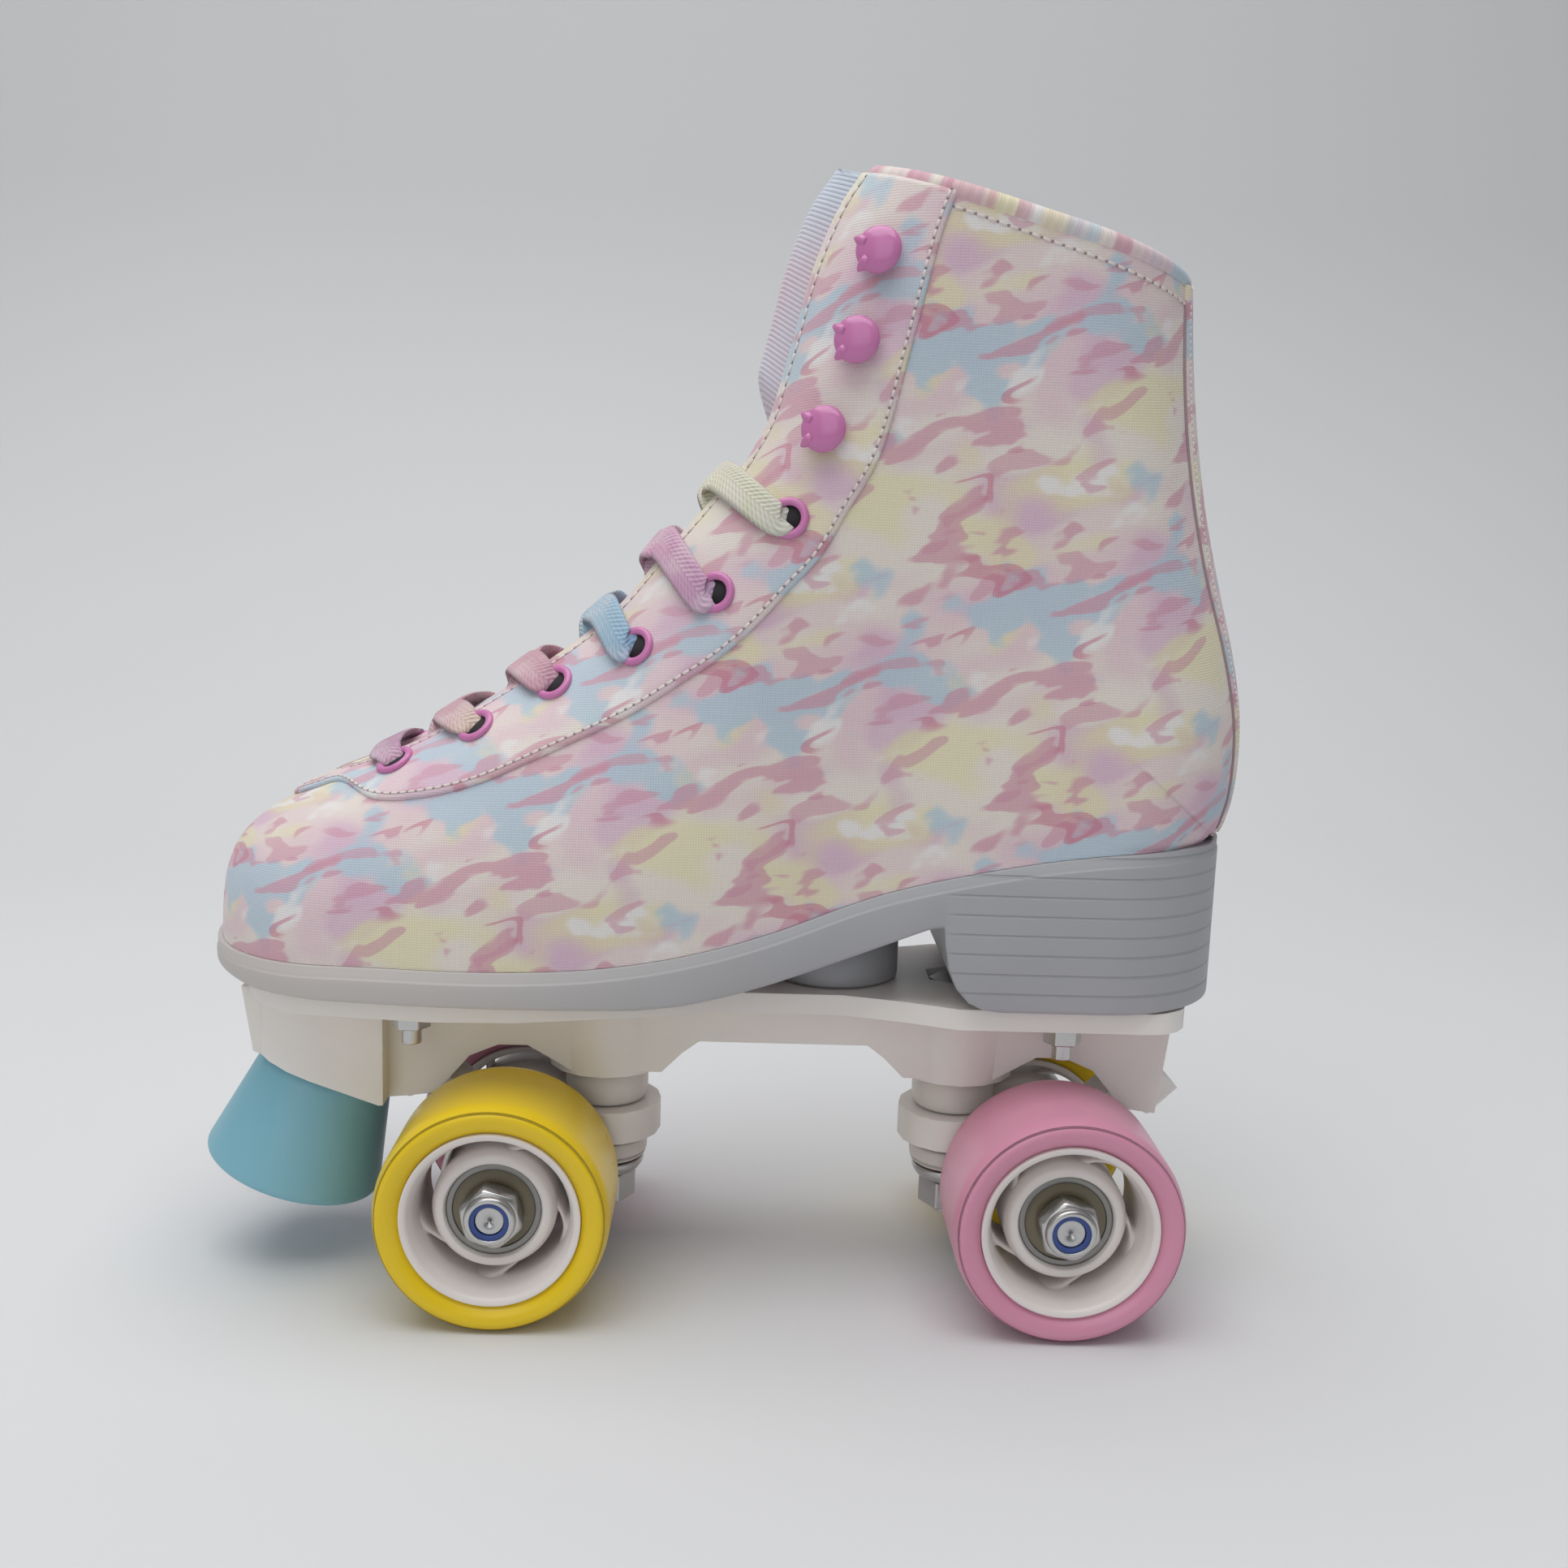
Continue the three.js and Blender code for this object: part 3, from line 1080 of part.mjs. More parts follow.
addPiece('plate', plate(), NYLON, 0.45);
boltPlaces.forEach(([x, y]) => {
  const place = `${x > 0 ? 'front' : 'rear'}_${y > 0 ? 'left' : 'right'}`;
  addPiece(`mount_bolt_${place}`, mountBolt(x, y), STEEL, 0.3, 1);
  addPiece(`mount_nut_${place}`, mountNut(x, y), STEEL, 0.3, 1);
});
addPiece('toe_stop', toeStop(), BLUE, 0.5);
addPiece('toe_stop_bolt', toeStopBolt(), STEEL, 0.3, 1);

for (const [end, word] of [[1, 'front'], [-1, 'rear']]) {
  addPiece(`${word}_hanger`, hanger(end), NYLON, 0.45);
  addPiece(`${word}_axle`, axle(end), STEEL, 0.25, 1);
  addPiece(`${word}_king_pin`, kingPin(end), STEEL, 0.3, 1);
  const upperCushion = cushion(end, ringTop + CLEARANCE, upperCushionTop, false);
  const lowerCushion = cushion(end, cupTop + CLEARANCE, lowerCushionTop, true);
  addPiece(`${word}_upper_cushion`, upperCushion, NYLON, 0.4);
  addPiece(`${word}_lower_cushion`, lowerCushion, NYLON, 0.4);
  addPiece(`${word}_cup_washer`, cupWasher(end), STEEL, 0.3, 1);
  addPiece(`${word}_king_pin_nut`, kingPinNut(end), STEEL, 0.3, 1);
  addPiece(`${word}_pivot_cup`, pivotCup(end), NYLON, 0.5);
  for (const [side, hand] of [[1, 'left'], [-1, 'right']]) {
    const color = (end > 0) === (side > 0) ? YELLOW : PINK;
    addPiece(`${word}_${hand}_tyre`, tyre(end, side), color, 0.35);
    addPiece(`${word}_${hand}_hub`, hub(end, side), HUB_WHITE, 0.4);
    addPiece(`${word}_${hand}_outer_bearing`, bearing(end, side * outerBearingY), STEEL, 0.3, 1);
    addPiece(`${word}_${hand}_inner_bearing`, bearing(end, side * innerBearingY), STEEL, 0.3, 1);
    addPiece(`${word}_${hand}_axle_nut`, axleNut(end, side), STEEL, 0.3, 1);
  }
}

// The origin goes under the middle of the whole assembly.
const box = new THREE.Box3().setFromObject(skate);
skate.position.x = -(box.min.x + box.max.x) / 2;
skate.position.y = -(box.min.y + box.max.y) / 2;
skate.updateMatrixWorld(true);

export default skate;
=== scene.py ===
# %% [markdown]
# # A roller skate, finished in Blender
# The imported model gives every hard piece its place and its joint. This lesson gives the
# skate its looks: printed cloth, moulded nylon, urethane, rubber and zinc-plated steel.
# All lengths below are millimetres in the skate's own drawing frame: X towards the toe
# from half-way between the axles, Y towards the outer side, Z up from the floor.

# %% Load the frame
import math
import bmesh
import bpy
import numpy as np
from mathutils import Matrix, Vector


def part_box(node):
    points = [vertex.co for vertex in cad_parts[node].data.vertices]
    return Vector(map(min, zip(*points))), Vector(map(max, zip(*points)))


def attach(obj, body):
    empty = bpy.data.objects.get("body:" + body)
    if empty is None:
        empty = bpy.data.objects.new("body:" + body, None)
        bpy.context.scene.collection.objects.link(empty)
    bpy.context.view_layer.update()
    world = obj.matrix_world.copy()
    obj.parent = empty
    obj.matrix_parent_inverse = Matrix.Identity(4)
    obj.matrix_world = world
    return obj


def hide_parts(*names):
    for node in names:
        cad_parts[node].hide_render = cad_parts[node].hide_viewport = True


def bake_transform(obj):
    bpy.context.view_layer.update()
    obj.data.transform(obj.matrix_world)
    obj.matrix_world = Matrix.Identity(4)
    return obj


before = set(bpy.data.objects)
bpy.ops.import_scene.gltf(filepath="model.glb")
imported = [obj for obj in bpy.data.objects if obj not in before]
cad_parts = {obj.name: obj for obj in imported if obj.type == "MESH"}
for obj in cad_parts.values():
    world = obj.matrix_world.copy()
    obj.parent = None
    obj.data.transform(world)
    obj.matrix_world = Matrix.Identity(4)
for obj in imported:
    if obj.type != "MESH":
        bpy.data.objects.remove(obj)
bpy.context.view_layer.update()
HALF_WHEELBASE = 66.0
tyre_low, tyre_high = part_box("front_left_tyre")
DRAWN_TO_ROW = 500 * (tyre_low.x + tyre_high.x) - HALF_WHEELBASE
print("pieces in the frame:", len(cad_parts), " shift along X:", round(DRAWN_TO_ROW, 3), "mm")


# %% [markdown]
# ## The camera and the studio
# A small product like this is shot with a normal lens from about forty centimetres, a
# little above the boot's middle. A sheet of pale paper runs under the skate and curves up
# behind it, so that there is no hard corner in the background.

# %% Camera
def turn(yaw, pitch, roll):
    """Rotation made of a yaw about Z, a downward pitch about X and a roll about Y."""
    cy, sy, cp, sp = math.cos(yaw), math.sin(yaw), math.cos(pitch), math.sin(pitch)
    cr, sr = math.cos(roll), math.sin(roll)
    about_z = np.array([[cy, -sy, 0], [sy, cy, 0], [0, 0, 1]])
    about_x = np.array([[1, 0, 0], [0, cp, sp], [0, -sp, cp]])
    about_y = np.array([[cr, 0, sr], [0, 1, 0], [-sr, 0, cr]])
    return about_z @ about_x @ about_y


CAMERA_AT = (12.45 + DRAWN_TO_ROW, 384.88, 185.6)
CAMERA_TURN = (-0.028, 0.165, -0.034)
LENS = 36.7
look = np.diag([-1.0, -1.0, 1.0]) @ turn(*CAMERA_TURN)
camera_data = bpy.data.cameras.new("camera")
camera_data.lens = LENS
camera_data.sensor_width = 36
camera_data.clip_start = 0.01
camera = bpy.data.objects.new("camera", camera_data)
bpy.context.scene.collection.objects.link(camera)
matrix = np.eye(4)
matrix[:3, 0], matrix[:3, 1], matrix[:3, 2] = look[:, 0], look[:, 2], -look[:, 1]
matrix[:3, 3] = np.array(CAMERA_AT) / 1000
camera.matrix_world = Matrix(matrix.tolist())
bpy.context.scene.camera = camera
print("camera at", [round(v, 3) for v in camera.location])


# %% [markdown]
# ## Making meshes from arrays
# Each surface is a grid of points worked out at once with numpy. One helper puts the
# points into a mesh, joins the grid up round either way, closes its ends, and stores the
# cloth's own flat coordinates as a UV map and any other values as attributes.

# %% Mesh helpers
def to_row(points):
    """Drawing millimetres to the row frame's metres: a shift along X, then a thousandth."""
    return (np.asarray(points, float).reshape(-1, 3) + [DRAWN_TO_ROW, 0, 0]) / 1000


def make_mesh(name, points, faces, smooth=True, uv=None, values=None):
    """A mesh object at the origin from points in drawing millimetres and a list of faces."""
    mesh = bpy.data.meshes.new(name)
    mesh.from_pydata(to_row(points).tolist(), [], [list(map(int, f)) for f in faces])
    mesh.update()
    if smooth:
        mesh.polygons.foreach_set("use_smooth", np.ones(len(mesh.polygons), bool))
    corners = np.zeros(len(mesh.loops), np.int32)
    mesh.loops.foreach_get("vertex_index", corners)
    if uv is not None:
        layer = mesh.uv_layers.new(name="cloth")
        layer.data.foreach_set("uv", np.asarray(uv, float).reshape(-1, 2)[corners].ravel())
    for key, value in (values or {}).items():
        kind = "FLOAT" if np.ndim(value) == 1 else "FLOAT_VECTOR"
        attribute = mesh.attributes.new(key, kind, "POINT")
        field = "value" if kind == "FLOAT" else "vector"
        attribute.data.foreach_set(field, np.asarray(value, np.float32).ravel())
    obj = bpy.data.objects.new(name, mesh)
    bpy.context.scene.collection.objects.link(obj)
    return obj


def grid_faces(rows, columns, around_rows=False, around_columns=False, start=0):
    """Quads between neighbours of a grid, joined round where asked, as an array of indices."""
    r = np.arange(rows if around_rows else rows - 1)
    c = np.arange(columns if around_columns else columns - 1)
    r, c = [a.ravel() for a in np.meshgrid(r, c, indexing="ij")]
    r2, c2 = (r + 1) % rows, (c + 1) % columns
    return start + np.stack([r * columns + c, r * columns + c2, r2 * columns + c2, r2 * columns + c], 1)


def outward(obj, merge=1e-6):
    """Merges doubled points and turns every face of a closed piece outwards."""
    work = bmesh.new()
    work.from_mesh(obj.data)
    bmesh.ops.remove_doubles(work, verts=work.verts, dist=merge)
    bmesh.ops.recalc_face_normals(work, faces=work.faces)
    work.to_mesh(obj.data)
    work.free()
    return obj


def grid_piece(name, grid, around_rows=False, around_columns=False, **more):
    """A piece from one grid of points, rows by columns by 3."""
    rows, columns = grid.shape[:2]
    faces = grid_faces(rows, columns, around_rows, around_columns)
    return outward(make_mesh(name, grid, faces, **more))


def bevel(obj, width, segments=2, angle=30, weld=False):
    """Rounds a piece's hard edges with live modifiers; a CAD node is welded first."""
    if weld:
        obj.modifiers.new("weld", "WELD").merge_threshold = 1e-6
    rounding = obj.modifiers.new("rounding", "BEVEL")
    rounding.width = width / 1000
    rounding.segments = segments
    rounding.limit_method = "ANGLE"
    rounding.angle_limit = math.radians(angle)
    rounding.harden_normals = False
    return obj


def smoothstep(x, low, high):
    """0 below low, 1 above high, and a smooth cubic rise between."""
    t = np.clip((np.asarray(x, float) - low) / (high - low), 0, 1)
    return t * t * (3 - 2 * t)


def unit(v):
    """Vectors scaled to length one, along the last axis."""
    v = np.asarray(v, float)
    return v / np.maximum(np.linalg.norm(v, axis=-1, keepdims=True), 1e-12)


def lathe(name, profile, at, axis=(0, 1, 0), turns=96, **more):
    """Closed profile of (radius, distance along the axis) points, turned once about the axis."""
    profile = np.asarray(profile, float)
    axis = unit(axis)
    side = unit(np.cross(axis, (0, 0, 1)) if abs(axis[2]) < 0.9 else np.cross(axis, (0, 1, 0)))
    other = np.cross(axis, side)
    angle = 2 * math.pi * np.arange(turns) / turns
    ring = np.cos(angle)[:, None] * side + np.sin(angle)[:, None] * other
    grid = profile[None, :, 0, None] * ring[:, None] + profile[None, :, 1, None] * axis
    grid = grid + np.asarray(at, float)
    return grid_piece(name, grid, True, True, **more)


def rounded_profile(corners, radii, steps=4):
    """A closed outline with each corner replaced by a curve that starts a radius before it."""
    corners = np.asarray(corners, float)
    out = []
    for i, (corner, radius) in enumerate(zip(corners, radii)):
        if radius <= 0:
            out.append(corner)
            continue
        before = corner + unit(corners[i - 1] - corner) * radius
        after = corner + unit(corners[(i + 1) % len(corners)] - corner) * radius
        for t in np.linspace(0, 1, steps + 1):
            out.append((1 - t) ** 2 * before + 2 * t * (1 - t) * corner + t * t * after)
    return np.array(out)


def join(name, pieces):
    """Several made pieces as one object."""
    bpy.ops.object.select_all(action="DESELECT")
    for piece in pieces:
        piece.select_set(True)
    bpy.context.view_layer.objects.active = pieces[0]
    bpy.ops.object.join()
    pieces[0].name = name
    return pieces[0]


def dress(obj, material):
    """Gives a piece or a CAD node one material."""
    obj.data.materials.clear()
    obj.data.materials.append(material)
    return obj


# %% Backdrop
BACKDROP_BEND_AT, BACKDROP_BEND, BACKDROP_HEIGHT = -430.0, 420.0, 2600.0
bend = np.linspace(0, math.pi / 2, 24)
profile = [(2600.0, 0.0), (600.0, 0.0), (0.0, 0.0), (BACKDROP_BEND_AT + 1, 0.0)]
profile += [(BACKDROP_BEND_AT - BACKDROP_BEND * math.sin(a), BACKDROP_BEND * (1 - math.cos(a))) for a in bend]
profile += [(BACKDROP_BEND_AT - BACKDROP_BEND, BACKDROP_HEIGHT)]
paper = np.array([[(x, y, z) for y, z in profile] for x in (-3200.0, 3200.0)])
backdrop = make_mesh("backdrop", paper, grid_faces(2, len(profile)))

# %% [markdown]
# ## A small language for materials
# Shader maths reads best as Python. One class wraps an output socket, so that an
# expression such as `1 - mask * 0.5` adds its own Math nodes; every other node comes
# from one method that takes the node's type, its settings and its inputs.

# %% Material kit
class Wire:
    """An output socket. Sums and products with it add Math nodes to the material."""

    def __init__(self, paint, socket):
        self.paint, self.socket = paint, socket

    def _do(self, operation, *values):
        return self.paint.node("ShaderNodeMath", {"operation": operation}, list(values))

    def __add__(self, other): return self._do("ADD", self, other)
    def __radd__(self, other): return self._do("ADD", other, self)
    def __sub__(self, other): return self._do("SUBTRACT", self, other)
    def __rsub__(self, other): return self._do("SUBTRACT", other, self)
    def __mul__(self, other): return self._do("MULTIPLY", self, other)
    def __rmul__(self, other): return self._do("MULTIPLY", other, self)
    def __truediv__(self, other): return self._do("DIVIDE", self, other)
    def __rtruediv__(self, other): return self._do("DIVIDE", other, self)
    def __pow__(self, other): return self._do("POWER", self, other)
    def sin(self): return self._do("SINE", self)
    def size(self): return self._do("ABSOLUTE", self)

    def step(self, low, high):
        """A smooth rise from 0 at low to 1 at high."""
        return self.paint.node("ShaderNodeMapRange", {"interpolation_type": "SMOOTHSTEP"},
                               {"Value": self, "From Min": low, "From Max": high})


class Paint:
    """One material: a Principled shader and whatever feeds it."""

    def __init__(self, name, **constants):
        self.material = bpy.data.materials.new(name)
        self.material.use_nodes = True
        self.tree = self.material.node_tree
        self.shader = self.tree.nodes["Principled BSDF"]
        self.feed(**constants)

    def node(self, kind, settings=None, inputs=None, output=0):
        """Adds a node: its settings first, then the values or wires of its inputs."""
        made = self.tree.nodes.new(kind)
        for key, value in (settings or {}).items():
            if key == "stops":
                while len(made.color_ramp.elements) < len(value):
                    made.color_ramp.elements.new(0.5)
                for element, (position, colour) in zip(made.color_ramp.elements, value):
                    element.position, element.color = position, (*colour, 1)
            else:
                setattr(made, key, value)
        pairs = inputs.items() if isinstance(inputs, dict) else enumerate(inputs or [])
        for key, value in pairs:
            if isinstance(value, Wire):
                self.tree.links.new(value.socket, made.inputs[key])
            else:
                made.inputs[key].default_value = value
        return Wire(self, made.outputs[output])

    def mix(self, share, first, second, blend="MIX"):
        """Colour that goes from first to second as share goes from 0 to 1."""
        first, second = [(*c, 1) if isinstance(c, tuple) and len(c) == 3 else c for c in (first, second)]
        return self.node("ShaderNodeMix", {"data_type": "RGBA", "blend_type": blend},
                         {0: share, 6: first, 7: second}, output=2)

    def place(self):
        """Object coordinates, in metres."""
        return self.node("ShaderNodeTexCoord", output=3)

    def cloth(self):
        """The piece's own flat coordinates, in metres."""
        return self.node("ShaderNodeUVMap", {"uv_map": "cloth"})

    def parts(self, vector):
        """The three numbers of a vector."""
        split = self.node("ShaderNodeSeparateXYZ", None, [vector])
        outputs = split.socket.node.outputs
        return [Wire(self, outputs[i]) for i in range(3)]

    def value(self, name):
        """A number stored on the mesh's points."""
        return self.node("ShaderNodeAttribute", {"attribute_name": name}, output=2)

    def noise(self, scale, detail=2.0, roughness=0.5, vector=None):
        """Soft random cloud; scale is in clouds per metre."""
        return self.node("ShaderNodeTexNoise", {"noise_dimensions": "3D"}, {
            "Vector": vector or self.place(), "Scale": scale, "Detail": detail, "Roughness": roughness})

    def bump(self, height, distance, strength=1.0, normal=None):
        """A normal that leans with the slope of a height; distance is in metres."""
        inputs = {"Strength": strength, "Distance": distance, "Height": height}
        if normal is not None:
            inputs["Normal"] = normal
        return self.node("ShaderNodeBump", None, inputs)

    def feed(self, **inputs):
        """Sets or links the shader's sockets, named with underscores for spaces."""
        for key, value in inputs.items():
            socket = self.shader.inputs[key.replace("_", " ")]
            if isinstance(value, Wire):
                self.tree.links.new(value.socket, socket)
            elif isinstance(value, tuple) and len(value) == 3 and socket.type == "RGBA":
                socket.default_value = (*value, 1)
            else:
                socket.default_value = value
        return self


def colour(red, green, blue):
    """A colour given as it looks on a screen, 0 to 255, as the linear numbers light works in."""
    share = np.array([red, green, blue]) / 255
    return tuple(np.where(share <= 0.04045, share / 12.92, ((share + 0.055) / 1.055) ** 2.4).tolist())


# %% Paper
paper_paint = Paint("backdrop_paper", Roughness=0.9)
grain = paper_paint.noise(2.2, 3.0)
near_tone = paper_paint.mix(grain, colour(216, 217, 219), colour(223, 224, 225))
# The paper turns darker as it rises behind the skate: painted shade for the light falling off.
rise_shade = paper_paint.parts(paper_paint.place())[2].step(0.0, 0.9)
paper_paint.feed(Base_Color=paper_paint.mix(rise_shade, near_tone, colour(197, 197, 198)))
dress(backdrop, paper_paint.material)

# %% Lights
def lamp(name, at, towards, size, power, tint=(1, 1, 1)):
    """A square soft box at a place in millimetres, facing a point."""
    data = bpy.data.lights.new(name, "AREA")
    data.shape, data.size, data.energy, data.color = "SQUARE", size / 1000, power, tint
    lamp_object = bpy.data.objects.new(name, data)
    bpy.context.scene.collection.objects.link(lamp_object)
    back = unit(np.array(at, float) - np.array(towards, float))
    side = unit(np.cross((0, 0, 1) if abs(back[2]) < 0.95 else (0, 1, 0), back))
    pose = np.eye(4)
    pose[:3, 0], pose[:3, 1], pose[:3, 2] = side, np.cross(back, side), back
    pose[:3, 3] = np.array(at) / 1000
    lamp_object.matrix_world = Matrix(pose.tolist())


lamp("top_box", (150, 150, 1500), (0, -50, 0), 1500, 20.5)
lamp("front_box", (500, 1500, 900), (0, 0, 120), 1200, 4.6)
world = bpy.data.worlds.new("studio")
bpy.context.scene.world = world
world.use_nodes = True
world.node_tree.nodes["Background"].inputs["Color"].default_value = (*colour(225, 228, 232), 1)
world.node_tree.nodes["Background"].inputs["Strength"].default_value = 0.215


# %% [markdown]
# ## Finishes of the hard pieces
# Moulded nylon lets a little light in and has a faint haze of texture. The wheels are
# cast urethane: glossy, slightly soft at the edges. Zinc-plated steel is bright with fine
# turning marks. The sole is a milky grey rubber with a satin skin.

# %% Finishes
def moulded(name, base, roughness, fleck=0.04, soften=0.0, depth=0.00004, scale=900.0):
    """A moulded plastic or rubber: clouds of tone, a fine bump and an uneven sheen."""
    paint = Paint(name, Subsurface_Weight=soften, Subsurface_Radius=(0.004, 0.003, 0.0025),
                  Subsurface_Scale=1.0)
    cloud = paint.noise(60.0, 3.0)
    fine = paint.noise(scale, 2.0)
    darker = tuple(v * (1 - fleck) for v in base)
    lighter = tuple(min(1.0, v * (1 + fleck)) for v in base)
    paint.feed(Base_Color=paint.mix(cloud, darker, lighter),
               Roughness=roughness - 0.06 + 0.12 * cloud,
               Normal=paint.bump(fine, depth, 0.5))
    return paint.material


def plated(name, base, roughness=0.22):
    """Bright metal with fine marks round the axle and a few dull patches."""
    paint = Paint(name, Metallic=1.0)
    x, y, z = paint.parts(paint.place())
    stretched = paint.node("ShaderNodeCombineXYZ", None, [x * 900.0, y * 5000.0, z * 900.0])
    marks = paint.noise(1.0, 2.0, 0.6, stretched)
    cloud = paint.noise(220.0, 3.0)
    paint.feed(Base_Color=paint.mix(cloud, tuple(v * 0.86 for v in base), base),
               Roughness=roughness + 0.16 * cloud,
               Normal=paint.bump(marks, 0.00003, 0.35))
    return paint.material


NYLON = moulded("white_nylon", colour(240, 235, 230), 0.4, 0.015, 0.25)
SOLE_RUBBER = moulded("grey_sole_rubber", colour(166, 167, 171), 0.42, 0.03, 0.15)
URETHANE = moulded("cushion_urethane", colour(226, 220, 214), 0.35, 0.02, 0.3)
STOP_BLUE = moulded("toe_stop_blue", colour(134, 189, 206), 0.4, 0.03, 0.1)
YELLOW = moulded("yellow_urethane", colour(240, 206, 26), 0.3, 0.02, 0.2)
PINK = moulded("pink_urethane", colour(222, 152, 178), 0.3, 0.02, 0.2)
HUB_WHITE = moulded("hub_white", colour(238, 230, 226), 0.33, 0.015, 0.2)
LILAC = moulded("lilac_enamel", colour(206, 126, 178), 0.2, 0.04, 0.0, 0.00001)
STEEL = plated("zinc_steel", colour(205, 205, 204))
DARK_STEEL = plated("bearing_steel", colour(150, 149, 146), 0.3)
BRASS_SHIELD = moulded("bearing_shield", colour(122, 113, 92), 0.4, 0.06)
BLUE_RING = moulded("nut_insert", colour(52, 76, 142), 0.35, 0.05)
# Painted shade: a near-black finish for the insides of the eyelet holes.
SHADOW = moulded("painted_hollow_shade", colour(40, 36, 40), 0.8, 0.05)

for node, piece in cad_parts.items():
    if node == "outsole":
        finish = SOLE_RUBBER
    elif "cushion" in node:
        finish = URETHANE
    elif node == "toe_stop":
        finish = STOP_BLUE
    elif node in ("front_left_tyre", "rear_right_tyre"):
        finish = YELLOW
    elif node.endswith("tyre"):
        finish = PINK
    elif node.endswith("hub"):
        finish = HUB_WHITE
    elif node in ("plate",) or node.endswith(("hanger", "pivot_cup")):
        finish = NYLON
    elif node.startswith("speed_hook"):
        finish = LILAC
    else:
        finish = STEEL
    dress(piece, finish)
    if piece.data.materials[0] in (NYLON,) and not node.endswith("pivot_cup"):
        bevel(piece, 1.4, 3, 35, weld=True).modifiers.new("even_shading", "WEIGHTED_NORMAL")
    elif finish is STEEL and node not in ("insole", "tongue", "boot_upper"):
        bevel(piece, 0.4, 2, 35, weld=True).modifiers.new("even_shading", "WEIGHTED_NORMAL")


# %% [markdown]
# ## Wheels
# A wheel is a urethane tyre cast round a white hub. The tyre is a turned outline with
# rounded edges. The hub has a rim, a barrel for the two bearings, and five spokes that
# swirl as they go out, with teardrop windows between them. Each bearing shows its steel
# races and the brownish shield between; a lock nut with a blue ring holds the wheel.

# %% Wheel sizes
AXLE_Z = 27.0
WHEEL_RADIUS, TYRE_INNER = 27.0, 20.6
WHEEL_MIDDLE, WHEEL_OUT, WHEEL_IN = 30.0, 46, 14
BEARING_RADIUS, BEARING_BACK, BEARING_HALF = 11.0, 8.0, 3.5
WHEELS = {f"{end}_{hand}": (HALF_WHEELBASE * way, side)
          for end, way in (("front", 1), ("rear", -1)) for hand, side in (("left", 1), ("right", -1))}


def spoke(x, y_middle, at_angle, steps=26, around=14):
    """One swirled spoke: its middle line turns as it goes from the barrel out to the rim,
    its width grows at both ends, and its section is a rounded slab across the axle."""
    t = np.linspace(0, 1, steps)
    radius = 12.6 + (18.9 - 12.6) * t
    middle = at_angle + math.radians(48) * t
    half_width = 1.5 + 2.4 * (1 - smoothstep(t, 0, 0.4)) + 5.2 * smoothstep(t, 0.55, 1)
    half_depth = 7.4 - 1.2 * np.sin(math.pi * t)
    a = 2 * math.pi * np.arange(around) / around
    across = np.sign(np.cos(a)) * np.abs(np.cos(a)) ** 0.75
    along = np.sign(np.sin(a)) * np.abs(np.sin(a)) ** 0.45
    angle = middle[:, None] + half_width[:, None] * across / radius[:, None]
    grid = np.stack([x + radius[:, None] * np.cos(angle),
                     y_middle + half_depth[:, None] * along,
                     AXLE_Z + radius[:, None] * np.sin(angle)], -1)
    return grid_piece("spoke", grid, False, True)


def hex_nut(name, at, axis, flats, height, bore, turned_by=0.0):
    """A nut: a hexagon whose top corners are cut by a cone, with a plain bore."""
    axis = unit(axis)
    side = unit(np.cross(axis, (0, 0, 1)) if abs(axis[2]) < 0.9 else np.cross(axis, (0, 1, 0)))
    other = np.cross(axis, side)
    angle = 2 * math.pi * np.arange(96) / 96
    to_flat = (flats / 2) / np.cos((angle + turned_by) % (math.pi / 3) - math.pi / 6)
    circle = np.full_like(angle, flats / 2 * 0.985)
    rows = []
    for radius, height_at in [(np.full_like(angle, bore), 0.0), (circle * 1.04, 0.0),
                              (to_flat, 0.9), (to_flat, None),
                              (circle * 1.0, height), (np.full_like(angle, bore * 1.08), height),
                              (np.full_like(angle, bore), height - 0.4)]:
        if height_at is None:
            height_at = height - (to_flat - flats / 2) * 0.62 - 0.35
        rows.append(radius[:, None] * (np.cos(angle)[:, None] * side + np.sin(angle)[:, None] * other)
                    + np.broadcast_to(height_at, angle.shape)[:, None] * axis)
    grid = np.stack(rows) + np.asarray(at, float)
    return grid_piece(name, grid, True, True)


